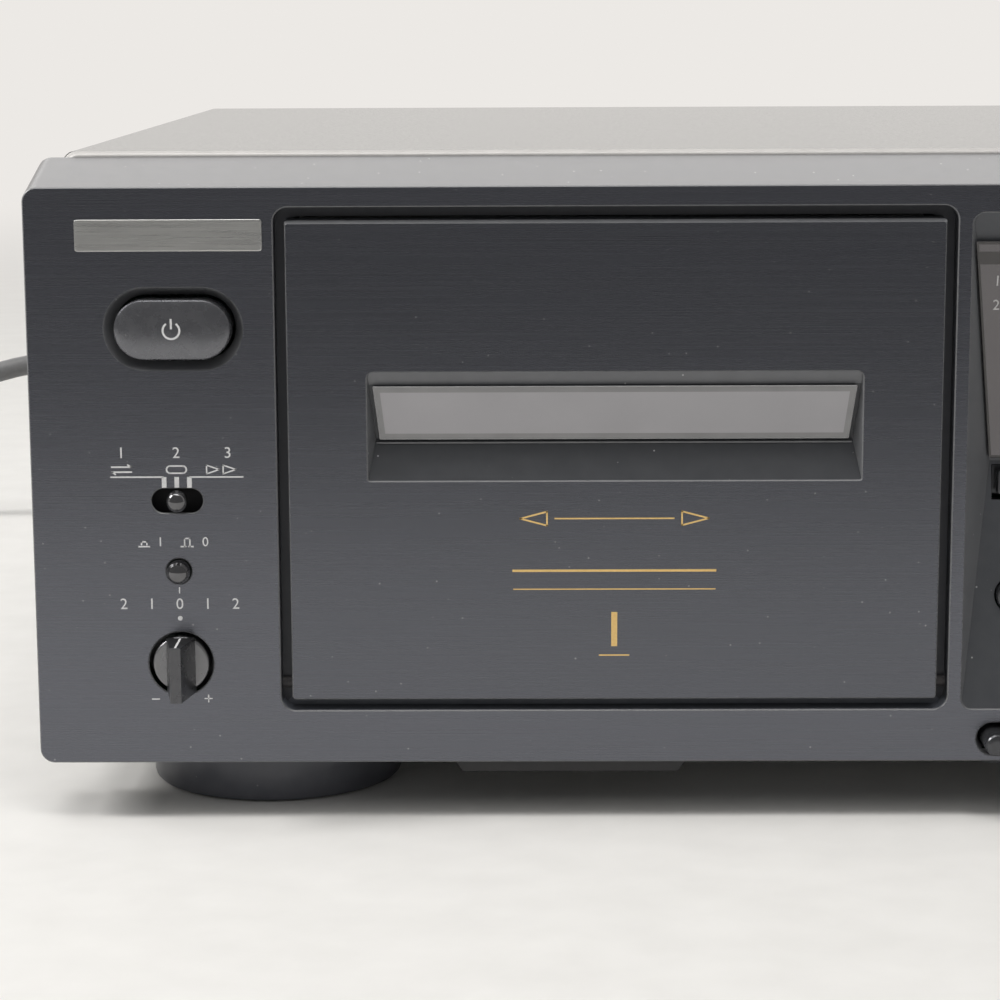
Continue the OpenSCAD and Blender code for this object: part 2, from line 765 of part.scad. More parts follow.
// Flywheel pressed on its capstan
module flywheel(x, r) {
    color("silver") {
        rod(x, foot_h + capstan_z, r, wheel_d, wheel_d + wheel_t);
        rod(x, foot_h + capstan_z, capstan_r, hub_tip, rear_plate_d + rear_plate_t);
    }
}
module flywheel_a_left() { flywheel(deck_x(-1) - capstan_x, idle_r); }
module flywheel_a_right() { flywheel(deck_x(-1) + capstan_x, wheel_r); }
module flywheel_b_left() { flywheel(deck_x(1) - capstan_x, idle_r); }
module flywheel_b_right() { flywheel(deck_x(1) + capstan_x, wheel_r); }
// Reel spindle: three-winged hub, table, shaft through the plate and its gear
module spindle(x) {
    z = foot_h + hub_z;
    gear_d = drive_d + drive_t + play;
    color("whitesmoke") {
        taper(x, z, 1.2, 2.4, hub_tip, hub_tip + 2);
        rod(x, z, 2.4, hub_tip + 2, table_d + 1);
        for (a = [0, 120, 240])
            translate([x, face_y + hub_tip + 3, z]) rotate([0, a, 0]) translate([-0.6, 0, 0])
                cube([1.2, table_d - hub_tip - 2, 4]);
        rod(x, z, table_r, table_d, drive_d - 1);
        rod(x, z, spindle_r, drive_d - 2, gear_d + 3);
        rod(x, z, 8, gear_d, gear_d + 2.5);
    }
}
module spindle_a_left() { spindle(deck_x(-1) - hub_pitch / 2); }
module spindle_a_right() { spindle(deck_x(-1) + hub_pitch / 2); }
module spindle_b_left() { spindle(deck_x(1) - hub_pitch / 2); }
module spindle_b_right() { spindle(deck_x(1) + hub_pitch / 2); }
// Head carriage: plate, head block and the two roller axles
module head(s) {
    x = deck_x(s);
    top = roller_z + axle_r + 3;
    color("silver") {
        box(x - capstan_x - 8, x + capstan_x + 8, carriage_d, carriage_d + carriage_t,
            foot_h + carriage_low, foot_h + top);
        box(x - 7, x + 7, hub_tip + 1, carriage_d + eps, foot_h + carriage_low + 4, foot_h + cass_z - 3);
        for (e = [-1, 1])
            rod(x + e * capstan_x, foot_h + roller_z, axle_r, hub_tip + 1, carriage_d + eps);
    }
}
module head_a() { head(-1); }
module head_b() { head(1); }
module roller(s, e) {
    x = deck_x(s) + e * capstan_x;
    color("black") difference() {
        rod(x, foot_h + roller_z, roller_r, hub_tip + 2, hub_tip + 9);
        rod(x, foot_h + roller_z, axle_r + run, hub_tip, hub_tip + 11);
    }
}
module roller_a_left() { roller(-1, -1); }
module roller_a_right() { roller(-1, 1); }
module roller_b_left() { roller(1, -1); }
module roller_b_right() { roller(1, 1); }

// Steel case
module bottom_chassis() {
    color("silver") difference() {
        union() {
            box(-case_x, case_x, chassis_d, back_d, foot_h, floor_z);
            for (s = [-1, 1])
                box(min(s * case_x, s * (case_x - sheet_t)), max(s * case_x, s * (case_x - sheet_t)),
                    chassis_d, back_d, foot_h, foot_h + flange_h);
            box(-case_x, case_x, chassis_d, chassis_d + sheet_t, foot_h, foot_h + 6);
            for (x = [board_left + 20, board_right - 20], d = [board_front + 15, board_back - 15])
                translate([x, face_y + d, foot_h]) cylinder(r = stand_r, h = board_z - foot_h);
        }
        for (s = [-1, 1], d = side_screw_d)
            axle(s > 0 ? case_x - 3 : -case_x - 1, s > 0 ? case_x + 1 : -case_x + 3, d, foot_h + 11,
                screw_hole_r);
        for (p = foot_spots) translate([p[0], face_y + p[1], foot_h - 1]) cylinder(r = screw_hole_r, h = 4);
    }
}
foot_spots = [for (x = [-foot_x, foot_x], d = [foot_front, case_d - foot_rear]) [x, d]];
module rear_panel() {
    color("silver") difference() {
        for (notch = [0, 2])
            box(notch - case_x, case_x - notch, back_d, case_d, foot_h, cover_z - sheet_t - seat + notch - 2);
        rod(gland_x, gland_z, 6 + seat, back_d - 1, case_d + 1);
        box(jack_x - jack_half - play, jack_x + jack_half + play, back_d - 1, case_d + 1,
            jack_z - jack_rise - play, jack_z + jack_rise + play);
        for (x = rear_screw_x) rod(x, rear_screw_z, screw_hole_r, back_d - 1, case_d + 1);
    }
}
module top_cover() {
    low = foot_h + 3;
    h = cover_z - low;
    color("dimgray") difference() {
        union() {
            slab(chassis_d, case_d) difference() {
                translate([0, low]) round_rect(2 * cover_x, 2 * h, 2.5);
                translate([0, low]) round_rect(2 * cover_x - 2 * sheet_t, 2 * h - 2 * sheet_t, 1.5);
                translate([-panel_w, low - 2 * face_h]) square([2 * panel_w, 2 * face_h]);
            }
            box(-cover_x + 8, cover_x - 8, back_d - sheet_t, back_d, cover_z - 12, cover_z - eps);
        }
        for (d = side_screw_d) axle(-half_w, half_w, d, foot_h + 11, screw_hole_r);
        for (x = rear_screw_x) rod(x, rear_screw_z, screw_hole_r, back_d - 5, case_d + 1);
    }
}
module feet() {
    color("black") for (p = foot_spots) translate([p[0], face_y + p[1], 0]) difference() {
        cylinder(r1 = foot_r - 1, r2 = foot_r, h = foot_h);
        translate([0, 0, -1]) cylinder(r = 5, h = foot_h - 3);
        cylinder(r = screw_hole_r, h = foot_h + 1);
    }
}
module case_screws() {
    color("dimgray") {
        for (s = [-1, 1], d = side_screw_d) {
            axle(s > 0 ? cover_x : -cover_x - screw_head_h, s > 0 ? cover_x + screw_head_h : -cover_x, d,
                foot_h + 11, screw_head_r);
            axle(s > 0 ? cover_x - 6 : -cover_x - eps, s > 0 ? cover_x + eps : -cover_x + 6, d,
                foot_h + 11, screw_r);
        }
        for (x = rear_screw_x) {
            rod(x, rear_screw_z, screw_head_r, case_d, case_d + screw_head_h);
            rod(x, rear_screw_z, screw_r, case_d - 6, case_d + eps);
        }
        for (p = foot_spots) translate([p[0], face_y + p[1], 0]) {
            translate([0, 0, foot_h - 4 - screw_head_h]) cylinder(r = screw_head_r, h = screw_head_h);
            translate([0, 0, foot_h - 4 - eps]) cylinder(r = screw_r, h = 8);
        }
    }
}
module jack_block() {
    color("black") {
        box(jack_x - jack_half, jack_x + jack_half, back_d - jack_in, case_d + eps,
            jack_z - jack_rise, jack_z + jack_rise);
        box(jack_x - jack_half - jack_edge, jack_x + jack_half + jack_edge, back_d - seat - 2, back_d - seat,
            jack_z - jack_rise - jack_edge, jack_z + jack_rise + jack_edge);
    }
}
module jack_sleeves() {
    color("gold") for (i = [-1.5:1:1.5]) difference() {
        rod(jack_x + i * jack_pitch, jack_z, sleeve_r, case_d + eps, case_d + sleeve_out);
        rod(jack_x + i * jack_pitch, jack_z, sleeve_bore, case_d, case_d + sleeve_out + 1);
    }
}
module transformer() {
    d = core_front;
    low = floor_z + yoke_h;
    high = floor_z + core_h - yoke_h;
    mid = (limb_w + core_gap) / 2;
    side = mid + core_gap / 2;
    color("dimgray") difference() {
        box(core_x - core_w / 2, core_x + core_w / 2, d, d + core_t, floor_z, floor_z + core_h);
        for (e = [-1, 1])
            box(core_x + e * mid - core_gap / 2, core_x + e * mid + core_gap / 2, d - 1, d + core_t + 1,
                low, high);
    }
    color("peru") difference() {
        box(core_x - side + 1, core_x + side - 1, d - winding_out, d + core_t + winding_out,
            low + 1, high - 1);
        box(core_x - limb_w / 2, core_x + limb_w / 2, d, d + core_t, low, high);
        for (e = [-1, 1])
            box(core_x + e * (side + 0.2) - 1, core_x + e * (side + 0.2) + 1, d, d + core_t, low, high);
    }
}
module main_board() {
    color("darkgreen") {
        box(board_left, board_right, board_front, board_back, board_z, board_z + board_t);
        for (p = [[40, 40, 9, 30], [70, 40, 9, 30], [100, 50, 6, 16], [120, 50, 6, 16], [190, 40, 5, 12]])
            translate([board_left + p[0], face_y + board_front + p[1], board_z + eps])
                cylinder(r = p[2], h = p[3]);
        for (b = [[10, 40, 90, 96, 40], [100, 140, 90, 105, 5], [170, 210, 80, 95, 5]])
            box(board_left + b[0], board_left + b[1], board_front + b[2], board_front + b[3],
                board_z + eps, board_z + b[4]);
    }
}

// Mains lead: gland, free stretch, coil of the spare length, plug. Points are [x, depth, z].
module cord_gland() {
    color("black") {
        rod(gland_x, gland_z, 8, back_d - 3, back_d - seat);
        rod(gland_x, gland_z, 6, back_d - 2, case_d + 1);
        rod(gland_x, gland_z, 9, case_d, case_d + 3);
        taper(gland_x, gland_z, 7, cord_r + 1.2, case_d + 2.5, gland_end);
    }
}
cord_z = gland_z;
cord_far = gland_end + 38;
cord_route = [
    [gland_x, gland_end, cord_z], [gland_x, gland_end + 7, cord_z], [gland_x - 2, gland_end + 17, cord_z],
    [gland_x - 9, gland_end + 27, cord_z - 0.2], [gland_x - 20, gland_end + 34, cord_z - 0.7],
    [gland_x - 35, cord_far - 1, cord_z - 1.8], [-222, cord_far, 60.8], [-240, cord_far, 58.3],
    [-258, cord_far, 55.4], [-274, cord_far, 52.6], [-288, cord_far, 49.6], [-300, cord_far, 45],
    [-310, cord_far, 38], [-318, cord_far, 29.5], [-325, cord_far, 20.5], [-333, cord_far, 12.5],
    [-343, cord_far, 6.5], [-354, cord_far, cord_r + 0.4], [-364, cord_far, cord_r],
    [-372, cord_far, cord_r]];
coil_r = 45;
coil_pitch = 2 * cord_r + 0.6;
coil_turns = 5.25;
coil_steps = 24;
coil_c = [-372, cord_far - coil_r];
coil_n = coil_turns * coil_steps;
coil_half = coil_n / 2;
coil_quarter = coil_steps / 4;
function ease(t) = t < 0 ? 0 : t > 1 ? 1 : t * t * (3 - 2 * t);
function coil_radius(i) = coil_r - coil_pitch * (coil_half - abs(i - coil_half)) / coil_steps;
function coil_height(i) = cord_r + coil_pitch * ease((i - coil_half + coil_quarter) / (2 * coil_quarter));
function coil_point(i) = let (a = 90 + 360 * i / coil_steps, r = coil_radius(i))
    [coil_c[0] + r * cos(a), coil_c[1] + r * sin(a), coil_height(i)];
coil_top = cord_r + coil_pitch;
tail_x = coil_c[0] - coil_r;
plug_z = 8;
plug_d = coil_c[1] - 52;
coil_tail = [[tail_x, coil_c[1] - 10, coil_top], [tail_x, coil_c[1] - 20, coil_top - 0.5],
    [tail_x, coil_c[1] - 30, coil_top - 1.4], [tail_x, coil_c[1] - 38, plug_z + 0.2],
    [tail_x, coil_c[1] - 45, plug_z], [tail_x, plug_d, plug_z]];
coil_route = concat([for (i = [0:coil_n]) coil_point(i)], coil_tail);
coil_gaps = [for (i = [0:coil_n - coil_steps / 2], j = [i + coil_steps / 2:coil_n])
    norm(coil_point(i) - coil_point(j)) - 2 * cord_r];
echo(coil_least_gap = min(coil_gaps));
function unit(v) = v / norm(v);
function heading(p, i, t0, t1) = i == 0 ? t0 : i == len(p) - 1 ? t1
    : unit(unit(p[i + 1] - p[i]) + unit(p[i] - p[i - 1]));
// Round tube along a list of points, square to the headings t0 and t1 at its ends
module tube(p, r, sides, t0, t1) {
    n = len(p);
    rings = [for (i = [0:n - 1]) let (
        t = heading(p, i, t0, t1), u = unit(cross(t, [0, 0, 1])), v = cross(u, t))
        for (k = [0:sides - 1]) let (a = 360 * (k + 0.5) / sides)
            [p[i][0], face_y + p[i][1], p[i][2]] + r * (cos(a) * u + sin(a) * v)];
    skin = [for (i = [0:n - 2], k = [0:sides - 1]) let (m = (k + 1) % sides)
        [i * sides + k, (i + 1) * sides + k, (i + 1) * sides + m, i * sides + m]];
    caps = [[for (k = [0:sides - 1]) k], [for (k = [sides - 1:-1:0]) (n - 1) * sides + k]];
    polyhedron(points = rings, faces = concat(skin, caps));
}
module mains_cord() {
    color("dimgray") tube(cord_route, cord_r, 8, [0, 1, 0], [-1, 0, 0]);
}
module mains_coil() {
    color("dimgray") tube(coil_route, cord_r, 6, [-1, 0, 0], [0, -1, 0]);
}
module mains_plug() {
    color("black") {
        taper(tail_x, plug_z, 6, cord_r + 1, plug_d - 26, plug_d);
        slab(plug_d - 56, plug_d - 25.5) translate([tail_x, plug_z]) round_rect(34, 2 * plug_z, 5);
    }
    color("silver") for (e = [-1, 1]) rod(tail_x + 9.5 * e, plug_z, 2, plug_d - 75, plug_d - 55);
}

front_panel();
display_pane();
display_tube();
front_boards();
control_bodies();
phones_jack();
hinge_pins();
bottom_chassis();
rear_panel();
top_cover();
feet();
case_screws();
jack_block();
jack_sleeves();
cord_gland();
mains_cord();
mains_coil();
mains_plug();
transformer();
main_board();
drive_frames();
drive_motors();
drive_belts();
power_button();
mode_slider();
noise_slider();
pitch_button();
pitch_knob();
level_knob();
reverse_key();
stop_key();
play_key();
pause_key();
record_key();
rewind_key();
forward_key();
counter_key();
memory_key();
eject_key_a();
eject_key_b();
door_a();
door_b();
window_a();
window_b();
holder_a();
holder_b();
spindle_a_left();
spindle_a_right();
spindle_b_left();
spindle_b_right();
flywheel_a_left();
flywheel_a_right();
flywheel_b_left();
flywheel_b_right();
head_a();
head_b();
roller_a_left();
roller_a_right();
roller_b_left();
roller_b_right();
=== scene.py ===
import json
from math import atan2, copysign, cos, hypot, pi, radians, sin

import bmesh
import bpy
from bmesh.types import BMEdge, BMFace, BMVert
from mathutils import Matrix, Vector

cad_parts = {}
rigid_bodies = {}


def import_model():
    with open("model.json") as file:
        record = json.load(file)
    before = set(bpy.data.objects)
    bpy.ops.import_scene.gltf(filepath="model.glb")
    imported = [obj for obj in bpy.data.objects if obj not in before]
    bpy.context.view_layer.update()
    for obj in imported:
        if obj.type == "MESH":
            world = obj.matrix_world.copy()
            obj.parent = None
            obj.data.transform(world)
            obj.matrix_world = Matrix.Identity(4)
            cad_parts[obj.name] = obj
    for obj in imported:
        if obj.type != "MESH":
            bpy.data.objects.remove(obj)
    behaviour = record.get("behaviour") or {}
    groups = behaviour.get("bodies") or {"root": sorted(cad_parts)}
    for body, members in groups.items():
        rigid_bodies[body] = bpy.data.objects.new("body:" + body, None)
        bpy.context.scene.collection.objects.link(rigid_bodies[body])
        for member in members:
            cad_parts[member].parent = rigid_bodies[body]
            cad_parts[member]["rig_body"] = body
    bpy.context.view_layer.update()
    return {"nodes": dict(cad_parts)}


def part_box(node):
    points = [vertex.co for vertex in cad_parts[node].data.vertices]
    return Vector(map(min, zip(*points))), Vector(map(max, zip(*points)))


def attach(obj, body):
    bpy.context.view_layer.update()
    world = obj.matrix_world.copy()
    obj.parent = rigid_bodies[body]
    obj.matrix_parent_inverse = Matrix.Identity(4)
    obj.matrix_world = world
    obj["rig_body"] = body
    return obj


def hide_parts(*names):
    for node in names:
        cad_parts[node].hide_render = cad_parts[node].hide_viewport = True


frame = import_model()

# Camera: a long lens a little above the deck, at the height and angle of the photograph,
# in front of the left door, so that the left half of the panel fills the picture.
EYE = Vector((-0.1133, -0.68985, 0.16581))
TILT, SWING, ROLL = 0.1764, -0.0078, -0.0042


def linked(name, data):
    """A new object in the scene."""
    made = bpy.data.objects.new(name, data)
    bpy.context.scene.collection.objects.link(made)
    return made


ahead = Vector((sin(SWING) * cos(TILT), cos(SWING) * cos(TILT), -sin(TILT)))
level = Vector((cos(SWING), -sin(SWING), 0))
upward = level.cross(ahead)
across = cos(ROLL) * level + sin(ROLL) * upward
upright = cos(ROLL) * upward - sin(ROLL) * level
lens = bpy.data.cameras.new("camera")
lens.sensor_fit = "HORIZONTAL"
lens.sensor_width = 36
lens.lens = 97.77
lens.shift_x, lens.shift_y = -0.0047, -0.0006
lens.clip_start, lens.clip_end = 0.01, 50
camera = linked("camera", lens)
camera.matrix_world = Matrix.Translation(EYE) @ Matrix((across, upright, -ahead)).transposed().to_4x4()
bpy.context.scene.camera = camera

# Mains lead: a round two-core cord with a grey PVC jacket. It leaves the rear by a gland, sags to the
# left, and its spare length lies there as a tied coil beside the case, with the plug at its end.
MM = 0.001
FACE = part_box("front_panel")[0].y / MM
CORD_R, CORD_LENGTH, SWEEP = 3.25, 1.473, 38
GLAND = Vector((-170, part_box("cord_gland")[1].y / MM - FACE, 64))
COIL_X, COIL_R, COIL_TURNS, COIL_STEPS = -372, 45, 5.25, 24
COIL_D = GLAND.y + SWEEP - COIL_R
COIL_PITCH = 2 * CORD_R + 0.6
COIL_TOP = CORD_R + COIL_PITCH
PLUG_LEAD = 52
PLUG_X, PLUG_D, PLUG_Z = COIL_X - COIL_R, COIL_D - PLUG_LEAD, 8
GRAIN_DEPTH = 0.0002


def shader_node(tree, kind, **given):
    """A new shader node with its settings, in small letters, and its inputs, with _ for a space."""
    made = tree.nodes.new("ShaderNode" + kind)
    for name, value in given.items():
        if name.islower():
            setattr(made, name, value)
        else:
            made.inputs[name.replace("_", " ")].default_value = value
    return made


def wire(tree, *links):
    """Joins pairs of sockets, each an output and the input that it feeds."""
    for start, end in links:
        tree.links.new(start, end)


def surface_mottle():
    """Node group: an uneven surface, as a colour between two tones, a roughness and a fine relief."""
    group = bpy.data.node_groups.new("surface_mottle", "ShaderNodeTree")
    for way, kind, names in (
        ("INPUT", "Vector", ("Vector", "Place")), ("INPUT", "Color", ("Dark", "Light")),
        ("INPUT", "Float", ("Scale", "Smooth", "Rough", "Dust")),
        ("OUTPUT", "Color", ("Colour",)), ("OUTPUT", "Float", ("Roughness", "Height")),
    ):
        for name in names:
            group.interface.new_socket(name, in_out=way, socket_type="NodeSocket" + kind)
    given = group.nodes.new("NodeGroupInput").outputs
    put = group.nodes.new("NodeGroupOutput").inputs
    grain = shader_node(group, "TexNoise", Detail=4)
    spread = shader_node(group, "MapRange", From_Min=0.3, From_Max=0.7)
    tone = shader_node(group, "Mix", data_type="RGBA")
    gloss = shader_node(group, "MapRange")
    fleck = shader_node(group, "TexVoronoi", Scale=260)
    speck = shader_node(group, "MapRange", From_Min=0.065, From_Max=0.025)
    amount = shader_node(group, "Math", operation="MULTIPLY")
    dusted = shader_node(group, "Mix", data_type="RGBA", B=(0.62, 0.62, 0.63, 1))
    wire(
        group, (given["Vector"], grain.inputs["Vector"]), (given["Scale"], grain.inputs["Scale"]),
        (grain.outputs["Fac"], spread.inputs["Value"]), (spread.outputs["Result"], tone.inputs["Factor"]),
        (given["Dark"], tone.inputs["A"]), (given["Light"], tone.inputs["B"]),
        (spread.outputs["Result"], gloss.inputs["Value"]), (given["Smooth"], gloss.inputs["To Min"]),
        (given["Rough"], gloss.inputs["To Max"]), (gloss.outputs["Result"], put["Roughness"]),
        (grain.outputs["Fac"], put["Height"]), (given["Place"], fleck.inputs["Vector"]),
        (fleck.outputs["Distance"], speck.inputs["Value"]), (speck.outputs["Result"], amount.inputs[0]),
        (given["Dust"], amount.inputs[1]), (amount.outputs["Value"], dusted.inputs["Factor"]),
        (tone.outputs["Result"], dusted.inputs["A"]), (dusted.outputs["Result"], put["Colour"]),
    )
    return group


MOTTLE = surface_mottle()


def finish(name, dark, light, scale, rough, relief=0.1, dust=0.0, stretch=None, metal=0.0):
    """A material that takes its two tones, its gloss and its relief from the mottle group."""
    material = bpy.data.materials.new(name)
    material.use_nodes = True
    tree = material.node_tree
    shader = tree.nodes["Principled BSDF"]
    shader.inputs["Metallic"].default_value = metal
    spot = place = shader_node(tree, "TexCoord").outputs["Object"]
    if stretch:
        mapping = shader_node(tree, "Mapping", Scale=stretch)
        wire(tree, (place, mapping.inputs["Vector"]))
        place = mapping.outputs["Vector"]
    detail = shader_node(
        tree, "Group", node_tree=MOTTLE, Scale=scale, Dark=(*dark, 1), Light=(*light, 1),
        Smooth=rough[0], Rough=rough[1], Dust=dust,
    )
    bump = shader_node(tree, "Bump", Strength=relief, Distance=GRAIN_DEPTH)
    wire(
        tree, (place, detail.inputs["Vector"]), (spot, detail.inputs["Place"]),
        (detail.outputs["Colour"], shader.inputs["Base Color"]),
        (detail.outputs["Roughness"], shader.inputs["Roughness"]),
        (detail.outputs["Height"], bump.inputs["Height"]),
        (bump.outputs["Normal"], shader.inputs["Normal"]),
    )
    return material


def ease(t):
    """Smooth step from 0 to 1."""
    t = min(max(t, 0), 1)
    return t * t * (3 - 2 * t)


def coil_point(i):
    """Point i of the coil: inwards on the lower layer, over, and outwards on the upper one."""
    half = COIL_TURNS * COIL_STEPS / 2
    angle = pi / 2 + 2 * pi * i / COIL_STEPS
    radius = COIL_R - COIL_PITCH * (half - abs(i - half)) / COIL_STEPS
    lift = ease((i - half + COIL_STEPS / 4) / (COIL_STEPS / 2))
    return (COIL_X + radius * cos(angle), COIL_D + radius * sin(angle), CORD_R + COIL_PITCH * lift)


cord_route = [
    (x, GLAND.y + d, z)
    for x, d, z in (
        (-170, 0, 64), (-170, 7, 64), (-172, 17, 64), (-179, 27, 63.8), (-190, 34, 63.3), (-205, 37, 62.2),
        (-222, SWEEP, 60.8), (-240, SWEEP, 58.3), (-258, SWEEP, 55.4), (-274, SWEEP, 52.6),
        (-288, SWEEP, 49.6), (-300, SWEEP, 45), (-310, SWEEP, 38), (-318, SWEEP, 29.5), (-325, SWEEP, 20.5),
        (-333, SWEEP, 12.5), (-343, SWEEP, 6.5), (-354, SWEEP, CORD_R + 0.4), (-364, SWEEP, CORD_R),
    )
]
cord_route += [coil_point(i) for i in range(int(COIL_TURNS * COIL_STEPS) + 1)]
cord_route += [
    (PLUG_X, COIL_D - d, z)
    for d, z in (
        (10, COIL_TOP), (20, COIL_TOP - 0.5), (30, COIL_TOP - 1.4), (38, PLUG_Z + 0.2), (45, PLUG_Z),
        (PLUG_LEAD, PLUG_Z),
    )
]
cord_curve = bpy.data.curves.new("mains_lead", "CURVE")
cord_curve.dimensions = "3D"
cord_curve.bevel_depth = CORD_R * MM
cord_curve.bevel_resolution = 4
cord_curve.resolution_u = 3
cord_curve.use_fill_caps = True
cord_line = cord_curve.splines.new("BEZIER")
cord_line.bezier_points.add(len(cord_route) - 1)
for point, (x, d, z) in zip(cord_line.bezier_points, cord_route):
    point.co = (x * MM, (FACE + d) * MM, z * MM)
    point.handle_left_type = point.handle_right_type = "AUTO"
cord_curve.materials.append(finish(
    "cord_jacket", (0.13, 0.131, 0.134), (0.16, 0.161, 0.164), 600, (0.42, 0.55), 0.06, dust=0.3
))
cord = linked("mains_lead", cord_curve)
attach(cord, "case")
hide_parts("mains_cord", "mains_coil")

# Moulded plug, strain relief and tie of the lead: black PVC moulded over two nickel-plated pins,
# a ribbed sleeve that grips the cord, and a woven strap round the coil.
SHARP = radians(20)
SPIN_AXES = {"X": Vector((1, 0, 0)), "Y": Vector((0, 1, 0)), "Z": Vector((0, 0, 1))}
PLUG_W, PLUG_L, PLUG_R, RELIEF_L, RIBS = 34, 31, 5, 26, 5
PIN_X, PIN_R, PIN_L = 9.5, 2, 19
TIE_Z, TIE_SPAN, TIE_H, TIE_R, TIE_W = 7.1, 22.6, 13.6, 4.5, 9
plug_black = finish("plug_moulding", (0.014, 0.014, 0.015), (0.022, 0.022, 0.024), 500, (0.38, 0.5), 0.08)
nickel = finish("nickel_plate", (0.55, 0.53, 0.50), (0.66, 0.64, 0.60), 180, (0.18, 0.32), 0.03, metal=1.0)
tie_weave = finish("tie_webbing", (0.012, 0.012, 0.013), (0.035, 0.035, 0.037), 1400, (0.7, 0.9), 0.6)


def smoothed(mesh):
    """Shades a mesh smooth but for its sharp edges."""
    mesh.shade_smooth()
    mesh.set_sharp_from_angle(angle=SHARP)


def as_object(name, bm):
    """An object in the scene, in metres, from a drawing in millimetres."""
    bmesh.ops.scale(bm, vec=(MM, MM, MM), verts=bm.verts)
    mesh = bpy.data.meshes.new(name)
    bm.to_mesh(mesh)
    bm.free()
    smoothed(mesh)
    return linked(name, mesh)


def settled(made):
    """An object's mesh with its modifiers applied."""
    return bpy.data.meshes.new_from_object(made.evaluated_get(bpy.context.evaluated_depsgraph_get()))


def carved(made, tool, use_self=False):
    """An object's mesh with the shape of a tool cut out of it; the tool is thrown away."""
    cut = made.modifiers.new("cut", "BOOLEAN")
    cut.operation = "DIFFERENCE"
    cut.solver = "EXACT"
    cut.use_self = use_self
    cut.object = tool
    mesh = settled(made)
    bpy.data.objects.remove(tool)
    return mesh


def piece(name, bm, body, looks, slot, *nodes, wall=0.0, cutter=None, edge=0.0, rim=-1):
    """Makes a drawing an object with one or more looks, riding on a body and standing for its nodes."""
    made = as_object(name, bm)
    for look in looks if isinstance(looks, list) else [looks]:
        made.data.materials.append(look)
    if wall:
        shell = made.modifiers.new("wall", "SOLIDIFY")
        shell.thickness = wall * MM
        shell.offset = -1
        shell.use_even_offset = True
    if cutter:
        solid = carved(made, as_object(name + "_cutter", cutter))
        made.modifiers.clear()
        made.data = solid
        smoothed(solid)
    if edge:
        rounding = made.modifiers.new("edge", "BEVEL")
        rounding.width = edge * MM
        rounding.segments = 3
        rounding.limit_method = "ANGLE"
        rounding.angle_limit = SHARP
        rounding.harden_normals = True
        rounding.material = rim
    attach(made, body)
    if nodes:
        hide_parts(*nodes)
    return made


def turn_out(bm):
    """Turns the faces of a drawing outwards."""
    bmesh.ops.recalc_face_normals(bm, faces=bm.faces[:])


def picked(drawn, kind):
    """The vertices, edges or faces among what an extrusion made."""
    return [part for part in drawn["geom"] if isinstance(part, kind)]


def rounded(bm, geom, radius, affect, steps=8):
    """Rounds edges or corners off in a number of steps."""
    return bmesh.ops.bevel(
        bm, geom=geom, offset=radius, offset_type="OFFSET", segments=steps, profile=0.5, affect=affect,
        material=-1,
    )


def turned(bm, profile, centre, axis="Y", steps=48):
    """A lathe-turned solid: spins (radius, distance along the axis) pairs round an axis through centre."""
    along = SPIN_AXES[axis]
    outward = SPIN_AXES["Z" if axis == "X" else "X"]
    verts = [bm.verts.new(centre + outward * r + along * t) for r, t in profile]
    pairs = zip(verts, verts[1:], profile, profile[1:])
    edges = [bm.edges.new((a, b)) for a, b, start, end in pairs if start[0] or end[0]]
    bmesh.ops.spin(
        bm, geom=verts + edges, cent=centre, axis=along, angle=2 * pi, steps=steps, use_merge=True
    )
    bmesh.ops.remove_doubles(bm, verts=bm.verts, dist=1e-4)
    turn_out(bm)
    return bm


def outline(bm, x, z, w, h, r, d, steps=8):
    """A face w by h with round corners, square to the front, at depth d behind the panel's face."""
    stand = Matrix.Translation((x, FACE + d, z)) @ Matrix.Rotation(pi / 2, 4, "X")
    grid = bmesh.ops.create_grid(
        bm, x_segments=1, y_segments=1, size=0.5, matrix=stand @ Matrix.Diagonal((w, h, 1, 1))
    )
    face = grid["verts"][0].link_faces[0]
    if r:
        corners = rounded(bm, grid["verts"], r, "VERTICES", steps)["verts"]
        face = max({f for v in corners for f in v.link_faces}, key=lambda f: f.calc_area())
        bmesh.ops.remove_doubles(bm, verts=face.verts[:], dist=0.03)
    return face


def ring(bm, x, z, w, h, r, d, steps=8):
    """That outline as an open loop of edges."""
    face = outline(bm, x, z, w, h, r, d, steps)
    edges = face.edges[:]
    bmesh.ops.delete(bm, geom=[face], context="FACES_ONLY")
    return edges


def draw_back(bm, edges, depth, spine=None, inward=0.0):
    """Draws a loop back, and in to the spine (x, half length, z) of a pill; returns faces, verts."""
    drawn = bmesh.ops.extrude_edge_only(bm, edges=edges)
    verts = picked(drawn, BMVert)
    bmesh.ops.translate(bm, vec=(0, depth, 0), verts=verts)
    if spine:
        x, half, z = spine
        for v in verts:
            near = Vector((min(max(v.co.x, x - half), x + half), v.co.y, z))
            v.co -= (v.co - near).normalized() * inward
    return picked(drawn, BMFace), verts


def thickened(bm, face, way):
    """Makes a face a solid that ends in a copy of it."""
    grown = bmesh.ops.extrude_face_region(bm, geom=[face], use_keep_orig=True)
    bmesh.ops.translate(bm, vec=way, verts=picked(grown, BMVert))
    turn_out(bm)


def plate(bm, x, z, w, h, r, d0, d1, steps=8):
    """A solid with a rounded outline from depth d0 to depth d1; returns its front."""
    front = outline(bm, x, z, w, h, r, d0, steps)
    thickened(bm, front, (0, d1 - d0, 0))
    return front


def block(bm, x0, x1, d0, d1, z0, z1):
    """A box between two corners, with depths behind the panel's face; returns its verts."""
    middle = Matrix.Translation(((x0 + x1) / 2, FACE + (d0 + d1) / 2, (z0 + z1) / 2))
    size = Matrix.Diagonal((abs(x1 - x0), abs(d1 - d0), abs(z1 - z0), 1))
    return bmesh.ops.create_cube(bm, size=1, matrix=middle @ size)["verts"]


